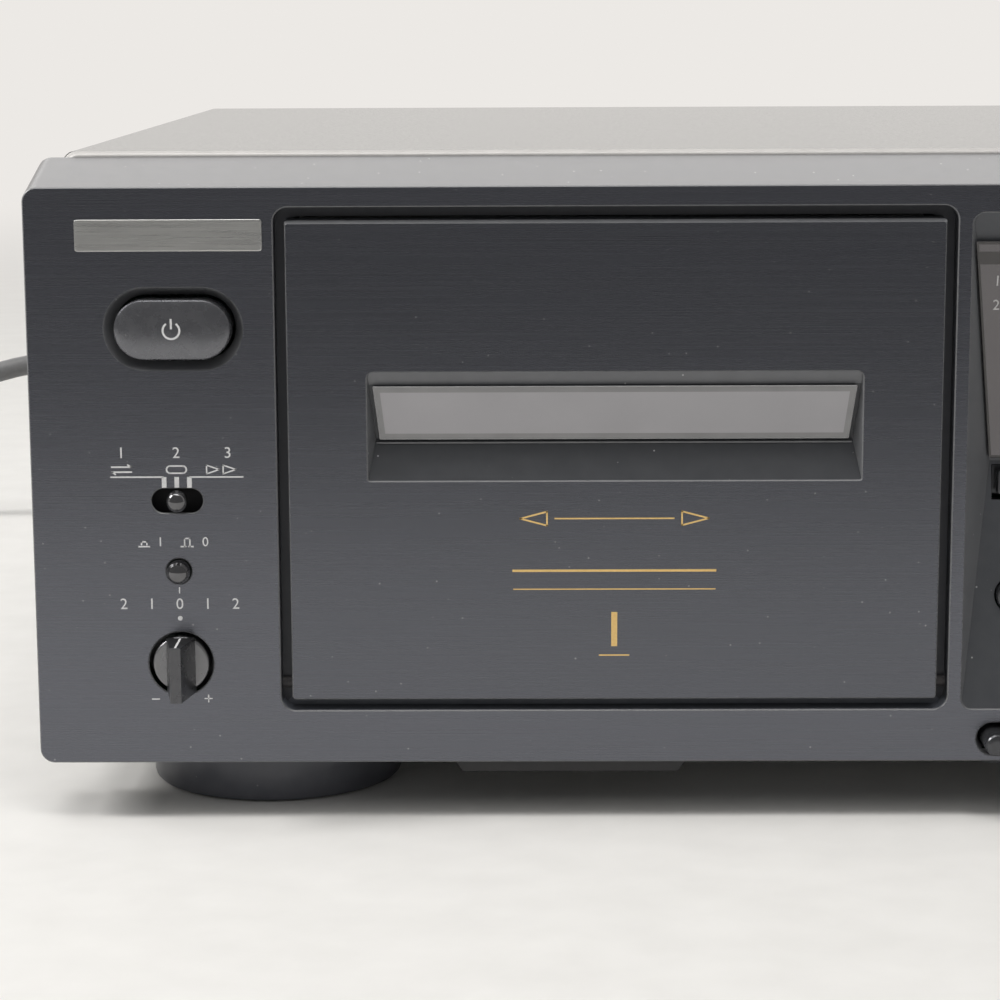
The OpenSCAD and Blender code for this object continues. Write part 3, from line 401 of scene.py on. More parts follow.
def ribs(start, pitch, outer, taper, form):
    """A tapering row of ribs in a profile; form gives the (radius, distance) steps of one."""
    return [(outer - taper * i + r, start + pitch * i + t) for i in range(RIBS) for r, t in form]


plug_rear = PLUG_D - RELIEF_L
relief = [(0, -RELIEF_L), (6.4, -RELIEF_L), (6.4, 3 - RELIEF_L)]
relief += ribs(4 - RELIEF_L, 4.2, 6.2, 0.34, ((-1.1, 0), (-1.1, 1.2), (0, 1.5), (-0.2, 3.8)))
relief += [(4.2, 0), (0, 0)]
bm = bmesh.new()
plate(bm, PLUG_X, PLUG_Z, PLUG_W, 2 * PLUG_Z, PLUG_R, plug_rear - PLUG_L + 1, plug_rear + 0.5)
turned(bm, relief, Vector((PLUG_X, FACE + PLUG_D, PLUG_Z)))
for side in (-1, 1):
    grip = PLUG_X + side * PLUG_W / 2
    for i in range(RIBS):
        at = plug_rear - 8 - i * 3.4
        block(bm, grip - side * 0.4, grip + side * 0.3, at, at + 1.6, PLUG_Z - 4, PLUG_Z + 4)
plug = piece("plug_body", bm, "case", plug_black, "black", "mains_plug", edge=0.5)
pin = [(0, 0), (PIN_R, 0)] + [(r, -PIN_L - t) for r, t in ((PIN_R, 0.3), (1.5, 1.2), (0.7, 1.7), (0, 1.8))]
bm = bmesh.new()
for side in (-1, 1):
    turned(bm, pin, Vector((PLUG_X + side * PIN_X, FACE + plug_rear - PLUG_L + 2, PLUG_Z)))
plug_pins = piece("plug_pins", bm, "case", nickel, "steel")
bm = bmesh.new()
tie_x = COIL_X + COIL_R - 1.5 * COIL_PITCH
draw_back(bm, ring(bm, tie_x, TIE_Z, TIE_SPAN, TIE_H, TIE_R, COIL_D - TIE_W / 2), TIE_W)
turn_out(bm)
tie = piece("coil_tie", bm, "case", tie_weave, "cord", wall=0.7, edge=0.15)
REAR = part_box("rear_panel")[1].y / MM
gland_l = GLAND.y + FACE - REAR
gland = [(0, -3.5), (7.8, -3.5), (7.8, -1.2), (6, -1), (6, 0), (9, 0.05), (9, 2.2), (8.4, 3), (7, 3.2)]
gland += ribs(5, 3.8, 6.9, 0.42, ((-1.0, 0), (-1.0, 1.1), (0, 1.4), (-0.15, 3.4)))
gland += [(4.4, gland_l), (0, gland_l)]
bm = turned(bmesh.new(), gland, Vector((GLAND.x, REAR, GLAND.z)))
piece("cord_relief", bm, "case", plug_black, "black", "cord_gland", edge=0.25)

# Feet: four deep round feet of black plastic with a rubber ring let into the sole, each held by one screw
# from below.
FOOT_R, FOOT_STEPS = 27, 72
foot_plastic = finish(
    "foot_plastic", (0.075, 0.078, 0.092), (0.090, 0.093, 0.108), 260, (0.30, 0.40), 0.01, dust=0.25
)
sole_rubber = finish("sole_rubber", (0.012, 0.012, 0.012), (0.022, 0.022, 0.022), 900, (0.75, 0.9), 0.3)
foot_profile = [
    (0, 8), (5, 8), (5, 0.9), (8, 0.9), (8, 0.3), (26.2, 0.3), (26.8, 0.45), (27.2, 0.9), (27.4, 1.6),
    (27.9, 10.6), (27.95, 11.6), (27.6, 12), (0, 12),
]
sole_profile = [(14, 1.2), (14, 0.2), (14.6, 0), (21.4, 0), (22, 0.2), (22, 1.2), (14, 1.2)]


def span(node):
    """A CAD node's lowest and highest corners, in millimetres."""
    return [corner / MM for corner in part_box(node)]


foot_low, foot_high = span("feet")
foot_spots = [
    (x, y)
    for x in (foot_low.x + FOOT_R, foot_high.x - FOOT_R)
    for y in (foot_low.y + FOOT_R, foot_high.y - FOOT_R)
]
for name, profile, look, *nodes in (
    ("feet_turned", foot_profile, foot_plastic, "feet"), ("foot_soles", sole_profile, sole_rubber),
):
    bm = bmesh.new()
    for x, y in foot_spots:
        turned(bm, profile, Vector((x, y, 0)), "Z", FOOT_STEPS)
    piece(name, bm, "case", look, "rubber", *nodes)

# Chassis, rear panel and the parts inside the case: zinc-plated pressed steel, a black-painted rear panel,
# boards with their parts, the laminated transformer and the two cassette drives. They keep their shape;
# the sheet parts, the jack block, the holders and the heads get broken edges.
DRIVE_PLACES = ("a_left", "a_right", "b_left", "b_right")
zinc = finish("zinc_plate", (0.45, 0.46, 0.46), (0.55, 0.55, 0.54), 160, (0.3, 0.48), 0.05, metal=1.0)
rear_paint = finish(
    "rear_paint", (0.020, 0.020, 0.021), (0.030, 0.030, 0.031), 900, (0.36, 0.46), 0.12, dust=0.3
)
board_green = finish("board_lacquer", (0.015, 0.075, 0.032), (0.02, 0.1, 0.045), 240, (0.25, 0.4))
control_grey = finish("control_bodies", (0.24, 0.24, 0.25), (0.33, 0.33, 0.34), 300, (0.3, 0.45), metal=0.7)
iron = finish(
    "core_laminations", (0.05, 0.05, 0.055), (0.11, 0.1, 0.1), 1400, (0.4, 0.6), 0.3, stretch=(1, 1, 0.05)
)
black_plastic = finish("black_moulding", (0.010, 0.010, 0.012), (0.017, 0.017, 0.019), 420, (0.36, 0.52))
frame_steel = finish("drive_steel", (0.36, 0.36, 0.37), (0.5, 0.5, 0.5), 130, (0.28, 0.42), 0.04, metal=1.0)
wheel_metal = finish(
    "flywheel_brass", (0.5, 0.44, 0.32), (0.62, 0.55, 0.4), 160, (0.2, 0.34), 0.03, metal=1.0
)
belt_rubber = finish("belt_rubber", (0.01, 0.01, 0.01), (0.02, 0.02, 0.02), 700, (0.6, 0.75), 0.2)
hub_nylon = finish("hub_nylon", (0.5, 0.49, 0.46), (0.6, 0.59, 0.55), 300, (0.35, 0.5), 0.06)
tube_glass = finish("display_tube", (0.02, 0.05, 0.05), (0.03, 0.07, 0.07), 200, (0.08, 0.15), 0.02)
holder_grey = finish("holder_moulding", (0.030, 0.030, 0.033), (0.045, 0.045, 0.048), 300, (0.4, 0.55))
for name, look, slot, edge in (
    ("bottom_chassis", zinc, "steel", 0.2), ("rear_panel", rear_paint, "steel", 0.2),
    ("drive_frames", frame_steel, "steel", 0.2), ("jack_block", black_plastic, "black", 0.3),
    ("holder_a", holder_grey, "holder", 0.25), ("holder_b", holder_grey, "holder", 0.25),
    ("head_a", frame_steel, "steel", 0.2), ("head_b", frame_steel, "steel", 0.2),
):
    node = frame["nodes"][name]
    bm = bmesh.new()
    bm.from_mesh(node.data)
    bmesh.ops.scale(bm, vec=(1 / MM, 1 / MM, 1 / MM), verts=bm.verts)
    bmesh.ops.remove_doubles(bm, verts=bm.verts, dist=1e-3)
    bmesh.ops.dissolve_limit(bm, angle_limit=radians(1), verts=bm.verts, edges=bm.edges)
    piece(name + "_finished", bm, node["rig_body"], look, slot, name, edge=edge)
for look, *names in (
    (board_green, "front_boards", "main_board"), (control_grey, "control_bodies", "drive_motors"),
    (iron, "transformer", "hinge_pins"), (belt_rubber, "drive_belts"), (tube_glass, "display_tube"),
    (wheel_metal, *(f"flywheel_{place}" for place in DRIVE_PLACES)),
):
    for name in names:
        kept = frame["nodes"][name].data.materials
        kept.clear()
        kept.append(look)

# Reel spindles and pinch rollers: white nylon hubs with three wings on a round table, and rubber
# rollers. They turn on their shafts behind the open door.
HUB_STEPS, WINGS = 40, 3
spindle_profile = [
    (0, 0), (0.9, 0.1), (1.5, 0.7), (2.3, 2.1), (2.4, 2.6), (2.4, 12.4), (10.6, 12.6), (11, 13), (11, 14.7),
    (10.6, 15), (1.5, 15), (1.5, 18.3), (7.6, 18.3), (8, 18.6), (8, 20.6), (7.6, 20.8), (0, 20.8),
]
roller_profile = [
    (1.06, 0), (4.6, 0), (5.1, 0.25), (5.2, 0.6), (5.2, 6.4), (5.1, 6.75), (4.6, 7), (1.06, 7), (1.06, 0),
]


def front_middle(node):
    """The middle of a CAD node's front, in millimetres."""
    low, high = span(node)
    return Vector(((low.x + high.x) / 2, low.y, (low.z + high.z) / 2))


for place in DRIVE_PLACES:
    name = f"spindle_{place}"
    hub = front_middle(name)
    bm = turned(bmesh.new(), spindle_profile, hub, steps=HUB_STEPS)
    for i in range(WINGS):
        wing = block(bm, hub.x - 0.6, hub.x + 0.6, hub.y - FACE + 3, hub.y - FACE + 12.5, hub.z, hub.z + 4)
        bmesh.ops.rotate(bm, cent=hub, matrix=Matrix.Rotation(2 * pi * i / WINGS, 3, "Y"), verts=wing)
    piece(name + "_hub", bm, name, hub_nylon, "white", name, edge=0.12)
    name = f"roller_{place}"
    bm = turned(bmesh.new(), roller_profile, front_middle(name), steps=HUB_STEPS)
    piece(name + "_rubber", bm, name, belt_rubber, "rubber", name)

# Line jacks: four nickel-plated sleeves with white and red insulators, two pairs side by side. They are
# riveted to the black block on the rear panel.
JACK_R, JACKS = 4.15, 4
jack_white = finish("jack_white", (0.62, 0.61, 0.58), (0.7, 0.69, 0.66), 300, (0.35, 0.45), 0.05)
jack_red = finish("jack_red", (0.42, 0.02, 0.02), (0.5, 0.03, 0.03), 300, (0.35, 0.45), 0.05)
jack_low, jack_high = span("jack_sleeves")
jack_z = (jack_low.z + jack_high.z) / 2
jack_l = jack_high.y - jack_low.y
jack_step = (jack_high.x - jack_low.x - 2 * JACK_R) / (JACKS - 1)
jack_spots = [Vector((jack_low.x + JACK_R + i * jack_step, jack_low.y, jack_z)) for i in range(JACKS)]
sleeve = [
    (3.3, 0), (5.4, 0), (5.4, 0.8), (JACK_R, 0.9), (JACK_R, jack_l - 0.3), (JACK_R - 0.25, jack_l),
    (3.5, jack_l), (3.3, jack_l - 0.3), (3.3, 0),
]
insulator = [
    (1.7, 0.5), (3.28, 0.5), (3.28, jack_l - 1.4), (3.0, jack_l - 1.1), (1.9, jack_l - 1.1),
    (1.7, jack_l - 1.3), (1.7, 0.5),
]
bm = bmesh.new()
for spot in jack_spots:
    turned(bm, sleeve, spot)
piece("jack_shells", bm, "case", nickel, "brass", "jack_sleeves")
for i, spot in enumerate(jack_spots):
    bm = turned(bmesh.new(), insulator, spot)
    piece(f"jack_insulator_{i + 1}", bm, "case", jack_red if i % 2 else jack_white, "white")

# Top cover: one sheet of steel bent over the chassis, painted satin black and screwed on. Its front edge
# slants inwards, and this hem shows behind the moulded panel in a light grey that is a painted sheen.
COVER_R, COVER_T, HEM, HEM_DROP = 2.5, 1.0, 1.4, 1.25
cover_low, cover_high = span("top_cover")
cover_paint = finish(
    "cover_paint", (0.020, 0.020, 0.021), (0.028, 0.027, 0.027), 1500, (0.10, 0.15), 0.006, dust=0.2
)
# The hem's light grey tone stands in for the sheen on its bent edge: painted sheen.
hem_painted_sheen = finish(
    "hem_painted_sheen", (0.55, 0.537, 0.525), (0.60, 0.586, 0.573), 300, (0.42, 0.52), 0.01, metal=0.16
)


def bent_sheet(y0, y1, under):
    """The cover's sides and top with round bends, from y0, some way under its skin, to y1."""
    bm = bmesh.new()
    left, right, top = cover_low.x + under, cover_high.x - under, cover_high.z - under
    ends = [
        bm.verts.new((x, y0, z))
        for x, z in ((left, cover_low.z), (left, top), (right, top), (right, cover_low.z))
    ]
    drawn = bmesh.ops.extrude_edge_only(bm, edges=[bm.edges.new(pair) for pair in zip(ends, ends[1:])])
    for v in picked(drawn, BMVert):
        v.co += Vector((copysign(under, v.co.x), y1 - y0, under if v.co.z > cover_low.z else 0))
    rounded(bm, [e for e in bm.edges if len(e.link_faces) == 2], COVER_R, "EDGES")
    turn_out(bm)
    if sum(f.normal.z for f in bm.faces) < 0:
        bmesh.ops.reverse_faces(bm, faces=bm.faces[:])
    return bm


hem_y = cover_low.y + HEM
piece(
    "cover_sheet", bent_sheet(hem_y, cover_high.y, 0), "case", cover_paint, "cover", "top_cover",
    wall=COVER_T, edge=0.25,
)
piece("cover_hem", bent_sheet(cover_low.y, hem_y, HEM_DROP), "case", hem_painted_sheen, "cover", wall=COVER_T)

# Screws: black pan-head screws with a cross recess, through the cover's sides and rear into the chassis,
# and one in each foot.
SCREW_R, SCREW_STEPS = 2.8, 28
SIDE_SCREW_Y, SIDE_SCREW_Z = (-70, 80), 23
REAR_SCREW_X, REAR_SCREW_Z, FOOT_SCREW_Z = (-150, 0, 150), 131.7, 8
screw_black = finish(
    "screw_black", (0.03, 0.03, 0.032), (0.05, 0.05, 0.053), 500, (0.3, 0.42), 0.08, metal=0.8
)
screw_profile = [
    (0, 2.0), (0.9, 1.97), (1.8, 1.8), (2.4, 1.45), (2.72, 0.95), (SCREW_R, 0.4), (SCREW_R, 0), (1.4, 0),
    (1.4, -5), (0, -5),
]
cross = bmesh.new()
for turn in (0, pi / 2):
    arm = Matrix.Translation((0, 0, 1.9)) @ Matrix.Diagonal((3.1, 0.75, 2, 1))
    bmesh.ops.create_cube(cross, size=1, matrix=Matrix.Rotation(turn, 4, "Z") @ arm)
head = as_object("screw_pattern", turned(bmesh.new(), screw_profile, Vector(), "Z", SCREW_STEPS))
screw_mesh = carved(head, as_object("screw_cross", cross), use_self=True)
bpy.data.objects.remove(head)
screw_mesh.transform(Matrix.Scale(1 / MM, 4))
screw_places = [
    (Vector((side * cover_high.x, y, SIDE_SCREW_Z)), Vector((side, 0, 0)))
    for side in (-1, 1) for y in SIDE_SCREW_Y
]
screw_places += [(Vector((x, REAR, REAR_SCREW_Z)), Vector((0, 1, 0))) for x in REAR_SCREW_X]
screw_places += [(Vector((x, y, FOOT_SCREW_Z)), Vector((0, 0, -1))) for x, y in foot_spots]
bm = bmesh.new()
for place, out in screw_places:
    screw = screw_mesh.copy()
    screw.transform(Matrix.Translation(place) @ out.to_track_quat("Z", "Y").to_matrix().to_4x4())
    bm.from_mesh(screw)
    bpy.data.meshes.remove(screw)
piece("cross_screws", bm, "case", screw_black, "steel", "case_screws")

# Front panel: one moulding, 430 mm wide. Its face carries a fine horizontal hairline finish; the sloped
# top band, the door wells, the console vee and the recesses round the controls are smooth satin black.
# Painted light: the vee's cheeks and the recesses' walls take a lighter copy of that satin, the rims of
# the openings a light tone as a painted highlight, and the wells' bottom ledges a lighter tone too.
PANEL_W, FACE_LOW, FACE_TOP, PANEL_R, PANEL_T, RIM = 430, 12, 132, 3, 2.4, 0.25
BAND_D, BAND_RISE = 20, 5
DOOR_X, BAY_W, BAY_H, BAY_R, BAY_MID, WELL_D = 95, 138.6, 104.6, 3, 75.5, 14
LEDGE_D, LEDGE_W = 5, 2.1
COLUMN_X = 185
POWER_Z, SLIDE_Z, PITCH_KEY_Z, PITCH_Z, LEVEL_Z = 103.2, 67.7, 52.9, 33.3, 72
POWER_HOLE, POWER_SPINE, POWER_DISH, POWER_DRAFT = (28.2, 16.7, 8.34), 5.7, 4, 1.7
EJECT_HOLE, EJECT_SPINE, EJECT_DISH, EJECT_DRAFT = (17.8, 6.9, 3.44), 5.4, 3, 0.8
EJECT_X, EJECT_Z = 10.5, 16.75
SLIDE_HOLE, PITCH_KEY_HOLE, PITCH_HOLE, PHONES_HOLE, LEVEL_HOLE = (10.6, 5.1), 5.2, 13.4, 9.2, 8
CON_HALF, CON_LOW, CON_CREASE, CON_LIP, CON_TOP = 22.7, 23.2, 74, 120.8, 126.2
CON_D, CON_LIP_D, CON_DRAFT = 10, 1.7, 0.63
ROUND_KEYS = (
    ("reverse", -12, 46.4), ("stop", 0, 46.4), ("play", 12, 46.4), ("pause", 0, 58.1), ("record", 0, 35.1),
    ("rewind", -8.45, 35.1), ("forward", 8.45, 35.1),
)
KEY_R, KEY_GAP = 3.4, 0.3
SQUARE_X, SQUARE_Z, SQUARE_HOLE = 10.5, 69.6, (11.3, 7.3)
SKID_X, SKID_HALF = 104, 25
CHEEK_TURN = 0.4


def brushed(name, dark, light, dust):
    """The hairline finish of the face, in two tones and with its share of dust."""
    return finish(
        name, dark, light, 2600, (0.25, 0.29), 0.004, dust=dust, stretch=(0.004, 1, 1), metal=1.0
    )


def satin(name, dark, light):
    """The dusty satin of the drawn-in parts, in two tones."""
    return finish(name, dark, light, 300, (0.34, 0.42), 0.004, dust=0.8, metal=0.1)


hairline = brushed("hairline_face", (0.142, 0.147, 0.168), (0.149, 0.154, 0.175), 0.4)
satin_panel = finish(
    "panel_moulding", (0.092, 0.094, 0.101), (0.108, 0.110, 0.117), 300, (0.22, 0.27), 0.002, dust=0.4,
    metal=0.9,
)
# Rims of the openings and edges: a light tone that is a painted highlight.
rim_painted_highlight = finish(
    "rim_painted_highlight", (0.14, 0.143, 0.151), (0.18, 0.183, 0.191), 500, (0.28, 0.36), 0.01, metal=0.1
)
recess_satin = satin("recess_satin", (0.067, 0.071, 0.080), (0.077, 0.081, 0.090))
# A lighter copy of the satin for cheeks, dished walls, the doors' lips and top edges: painted light.
satin_painted_light = satin("satin_painted_light", (0.140, 0.144, 0.154), (0.156, 0.160, 0.170))
well_grey = finish("well_moulding", (0.055, 0.058, 0.069), (0.067, 0.070, 0.081), 500, (0.4, 0.5), 0.05)
# Bottom ledges of the wells: a lighter tone, painted light where the door shades them.
ledge_painted_light = finish("ledge_painted_light", (0.125, 0.135, 0.160), (0.150, 0.160, 0.185), 500, (0.5, 0.6), 0.05)


def eased(bm, edges, way):
    """A narrow slanted rim from a loop forward to the face, which grows (1) or shrinks (-1) the loop."""
    drawn = bmesh.ops.extrude_edge_only(bm, edges=edges)
    verts = picked(drawn, BMVert)
    loop = [e for e in picked(drawn, BMEdge) if e.verts[0] in verts and e.verts[1] in verts]
    centre = sum((v.co for v in verts), Vector()) / len(verts)
    sides = {v: [] for v in verts}
    for edge in loop:
        start, end = edge.verts
        along = end.co - start.co
        side = Vector((along.z, 0, -along.x)).normalized()
        if side.dot(start.co + end.co - 2 * centre) < 0:
            side.negate()
        sides[start].append(side)
        sides[end].append(side)
    for v, (one, other) in sides.items():
        out = (one + other).normalized()
        v.co += out * way * RIM / out.dot(one) - Vector((0, RIM, 0))
    return loop, picked(drawn, BMFace)


def vee(bm, x, half, low, crease, lip, top, depth, lip_depth, draft, low_r, top_r):
    """A drawn-in vee: ramp, upper face and lip between two cheeks; returns its open loop, faces and rim."""
    depth, lip_depth = depth - RIM, lip_depth - RIM
    outline(bm, x, (low + top) / 2, 2 * half, top - low, 0, 0)
    for z, r in ((low, low_r), (top, top_r)):
        rounded(bm, [v for v in bm.verts if abs(v.co.z - z) < 1e-3], r, "VERTICES")
    for z in (crease, lip):
        bmesh.ops.bisect_plane(
            bm, geom=bm.faces[:] + bm.edges[:] + bm.verts[:], plane_co=(0, 0, z), plane_no=(0, 0, 1)
        )
    flat = bm.faces[:]
    grown = bmesh.ops.extrude_face_region(bm, geom=flat)
    bmesh.ops.delete(bm, geom=[f for f in flat if f.is_valid], context="FACES")
    for v in picked(grown, BMVert):
        z = v.co.z
        if z < crease:
            d = depth * (z - low) / (crease - low)
        elif z < lip:
            d = depth + (lip_depth - depth) * (z - crease) / (lip - crease)
        else:
            d = lip_depth * (top - z) / (top - lip)
        v.co += Vector((copysign(draft * d, x - v.co.x), d, 0))
    bmesh.ops.remove_doubles(bm, verts=bm.verts, dist=1e-3)
    turn_out(bm)
    bmesh.ops.translate(bm, vec=(0, RIM, 0), verts=bm.verts)
    faces = bm.faces[:]
    loop, rims = eased(bm, [e for e in bm.edges if e.is_boundary], 1)
    return loop, faces, rims


def filled(bm, edges):
    """Fills the face between an outer loop and the holes in it."""
    bmesh.ops.triangle_fill(bm, use_beauty=True, use_dissolve=False, edges=edges, normal=(0, -1, 0))


def face_front(bm):
    """Turns an open moulding's faces outwards; returns those that lie in the panel's face."""
    bmesh.ops.remove_doubles(bm, verts=bm.verts, dist=1e-4)
    turn_out(bm)
    flat = [f for f in bm.faces if abs(f.calc_center_median().y - FACE) < 1e-3]
    if sum(f.normal.y for f in flat) > 0:
        bmesh.ops.reverse_faces(bm, faces=bm.faces[:])
    return flat


def paint(faces, looks, look):
    """Gives faces one of the looks of their piece."""
    for face in faces:
        face.material_index = looks.index(look)


def ramp_depth(z):
    """Depth of the console's key ramp at a height."""
    return RIM + (CON_D - RIM) * (z - CON_LOW) / (CON_CREASE - CON_LOW)


bm = bmesh.new()
loops, drawn_in, rims = vee(
    bm, 0, CON_HALF, CON_LOW, CON_CREASE, CON_LIP, CON_TOP, CON_D, CON_LIP_D, CON_DRAFT, 2.2, 2.4
)
rim = ring(bm, 0, (FACE_LOW + FACE_TOP) / 2, PANEL_W, FACE_TOP - FACE_LOW, PANEL_R, RIM, steps=10)
bays = [ring(bm, side * DOOR_X, BAY_MID, BAY_W, BAY_H, BAY_R, RIM) for side in (-1, 1)]
power_hole = ring(bm, -COLUMN_X, POWER_Z, *POWER_HOLE, RIM, steps=16)
eject_holes = [ring(bm, side * EJECT_X, EJECT_Z, *EJECT_HOLE, RIM, steps=12) for side in (-1, 1)]
openings = [(-COLUMN_X, SLIDE_Z, *SLIDE_HOLE), (COLUMN_X, POWER_Z, *SLIDE_HOLE)]
openings += [
    (x, z, bore, bore)
    for x, z, bore in (
        (-COLUMN_X, PITCH_KEY_Z, PITCH_KEY_HOLE), (-COLUMN_X, PITCH_Z, PITCH_HOLE),
        (COLUMN_X, PITCH_Z, PHONES_HOLE), (COLUMN_X, LEVEL_Z, LEVEL_HOLE),
    )
]
holes = [ring(bm, x, z, w, h, h / 2 - 0.005, RIM, steps=14) for x, z, w, h in openings]
for loop in (rim, *bays, power_hole, *eject_holes, *holes):
    front, faces = eased(bm, loop, -1 if loop is rim else 1)
    loops += front
    rims += faces
filled(bm, loops)
for v in draw_back(bm, rim, BAND_D - RIM)[1]:
    if v.co.z > BAY_MID:
        v.co.z += BAND_RISE
wells = []
for side, bay in zip((-1, 1), bays):
    walls, verts = draw_back(bm, bay, LEDGE_D - RIM)
    ends = [e for e in bm.edges if e.is_boundary and e.verts[0] in verts]
    ledge = bmesh.ops.extrude_edge_only(bm, edges=ends)
    bmesh.ops.scale(
        bm, vec=(1 - 2 * LEDGE_W / BAY_W, 1, 1 - 2 * LEDGE_W / BAY_H), verts=picked(ledge, BMVert),
        space=Matrix.Translation((-side * DOOR_X, 0, -BAY_MID)),
    )
    inner = [e for e in picked(ledge, BMEdge) if e.is_boundary]
    wells += walls + picked(ledge, BMFace) + draw_back(bm, inner, WELL_D - LEDGE_D)[0]
recesses = draw_back(bm, power_hole, POWER_DISH, (-COLUMN_X, POWER_SPINE, POWER_Z), POWER_DRAFT)[0]
for side, hole in zip((-1, 1), eject_holes):
    recesses += draw_back(bm, hole, EJECT_DISH, (side * EJECT_X, EJECT_SPINE, EJECT_Z), EJECT_DRAFT)[0]
ledge_top = BAY_MID - BAY_H / 2 + LEDGE_W - RIM
panel_looks = [hairline, satin_panel, well_grey, rim_painted_highlight, recess_satin, satin_painted_light, ledge_painted_light]
paint(bm.faces, panel_looks, satin_panel)
paint(wells, panel_looks, well_grey)
# The bottom ledges of the wells are painted lighter: painted light in the door's shade.
paint([f for f in wells if f.calc_center_median().z < ledge_top], panel_looks, ledge_painted_light)
# The dished walls of the recesses and the cheeks of the vee take the lighter satin: painted light.
paint(recesses, panel_looks, satin_painted_light)
paint(drawn_in, panel_looks, recess_satin)
paint([f for f in drawn_in if abs(f.normal.x) > CHEEK_TURN], panel_looks, satin_painted_light)
# The rims of the openings are painted light as highlights along the edges.
paint(rims, panel_looks, rim_painted_highlight)
paint(face_front(bm), panel_looks, hairline)
key_holes = bmesh.new()
key_bore = [(0, -3), (KEY_R + KEY_GAP, -3), (KEY_R + KEY_GAP, 14), (0, 14)]
for _, x, z in ROUND_KEYS:
    turned(key_holes, key_bore, Vector((x, FACE + ramp_depth(z), z)))
for x in (-SQUARE_X, SQUARE_X):
    (w, h), d = SQUARE_HOLE, ramp_depth(SQUARE_Z)
    block(key_holes, x - w / 2, x + w / 2, d - 3, d + 12, SQUARE_Z - h / 2, SQUARE_Z + h / 2)
piece("panel_moulding", bm, "case", panel_looks, "panel", "front_panel", wall=PANEL_T, cutter=key_holes)
bm = bmesh.new()
for x in (-SKID_X, SKID_X):
    skid = block(bm, x - SKID_HALF, x + SKID_HALF, 3, 12, span("front_panel")[0].z, FACE_LOW + 0.5)
    for v in skid:
        if v.co.z < FACE_LOW:
            v.co += Vector((copysign(2.3, x - v.co.x), 0.6 if v.co.y < FACE + 7 else -2, 0))
piece("panel_skids", bm, "case", black_plastic, "panel", edge=0.4)

# Doors: flat mouldings with the same hairline finish, hinged at their lower edge, with a slanted pane let
# into a drawn-in vee. The pane is half-silvered clear plastic with a darker printed border.
DOOR_W, DOOR_H, DOOR_R, DOOR_T, DOOR_WALL = 134, 100, 0.8, 3, 1.4
DOOR_TOP = BAY_MID + DOOR_H / 2
TOP_EASE = 4
WIN_LOW, WIN_CREASE, WIN_LIP, WIN_TOP = 71.7, 79.6, 91.5, 94.1
WIN_HALF, WIN_D, WIN_LIP_D, WIN_DRAFT = 50.65, 5.2, 1.2, 0.29
PANE_T, PANE_GAP, PANE_BORDER = 1.2, 1.05, 1.4
HINGE_X, HINGE_D, HINGE_Z, HINGE_R, PIN_HOLE_R, HINGE_HALF = 63.5, 4.5, 28.2, 2.5, 1.25, 3.5
door_hairline = brushed("hairline_door", (0.130, 0.135, 0.154), (0.137, 0.142, 0.161), 0.5)
ramp_satin = satin("ramp_satin", (0.046, 0.049, 0.056), (0.053, 0.056, 0.063))
pane_border = finish(
    "pane_border", (0.22, 0.22, 0.225), (0.25, 0.25, 0.255), 160, (0.12, 0.18), 0.01, metal=0.6
)
pane_clear = finish(
    "pane_clear", (0.332, 0.327, 0.343), (0.350, 0.345, 0.361), 60, (0.08, 0.13), 0.005, metal=0.6
)
# The panes' rounded edges take a light tone: a painted highlight.
pane_edge_painted_highlight = finish("pane_edge_painted_highlight", (0.30, 0.30, 0.31), (0.36, 0.36, 0.37), 300, (0.2, 0.3), 0.005)
door_looks = [door_hairline, ramp_satin, rim_painted_highlight, satin_painted_light]


def slanted_pane(bm, x, half, draft, low, high, depth_at, thick, gap, border):
    """A pane on the slanted face of a vee; its middle, inset by border, takes the second look."""
    corners = []
    for z, side in ((low, -1), (low, 1), (high, 1), (high, -1)):
        d = depth_at(z) - thick
        corners.append(bm.verts.new((x + side * (half - draft * d - gap), FACE + d, z)))
    grown = bmesh.ops.extrude_face_region(bm, geom=[bm.faces.new(corners)], use_keep_orig=True)
    for v in picked(grown, BMVert):
        v.co += Vector((copysign(draft * thick, x - v.co.x), thick - 0.1, 0))
    turn_out(bm)
    middle = max((f for f in bm.faces if f.normal.y < 0), key=lambda f: f.calc_area())
    bmesh.ops.inset_region(bm, faces=[middle], thickness=border, use_even_offset=True)
    middle.material_index = 1
    return bm


def pane_depth(z):
    """Depth of the upper face of a door's vee at a height."""
    return WIN_D + (WIN_LIP_D - WIN_D) / (WIN_LIP - WIN_CREASE) * (z - WIN_CREASE)


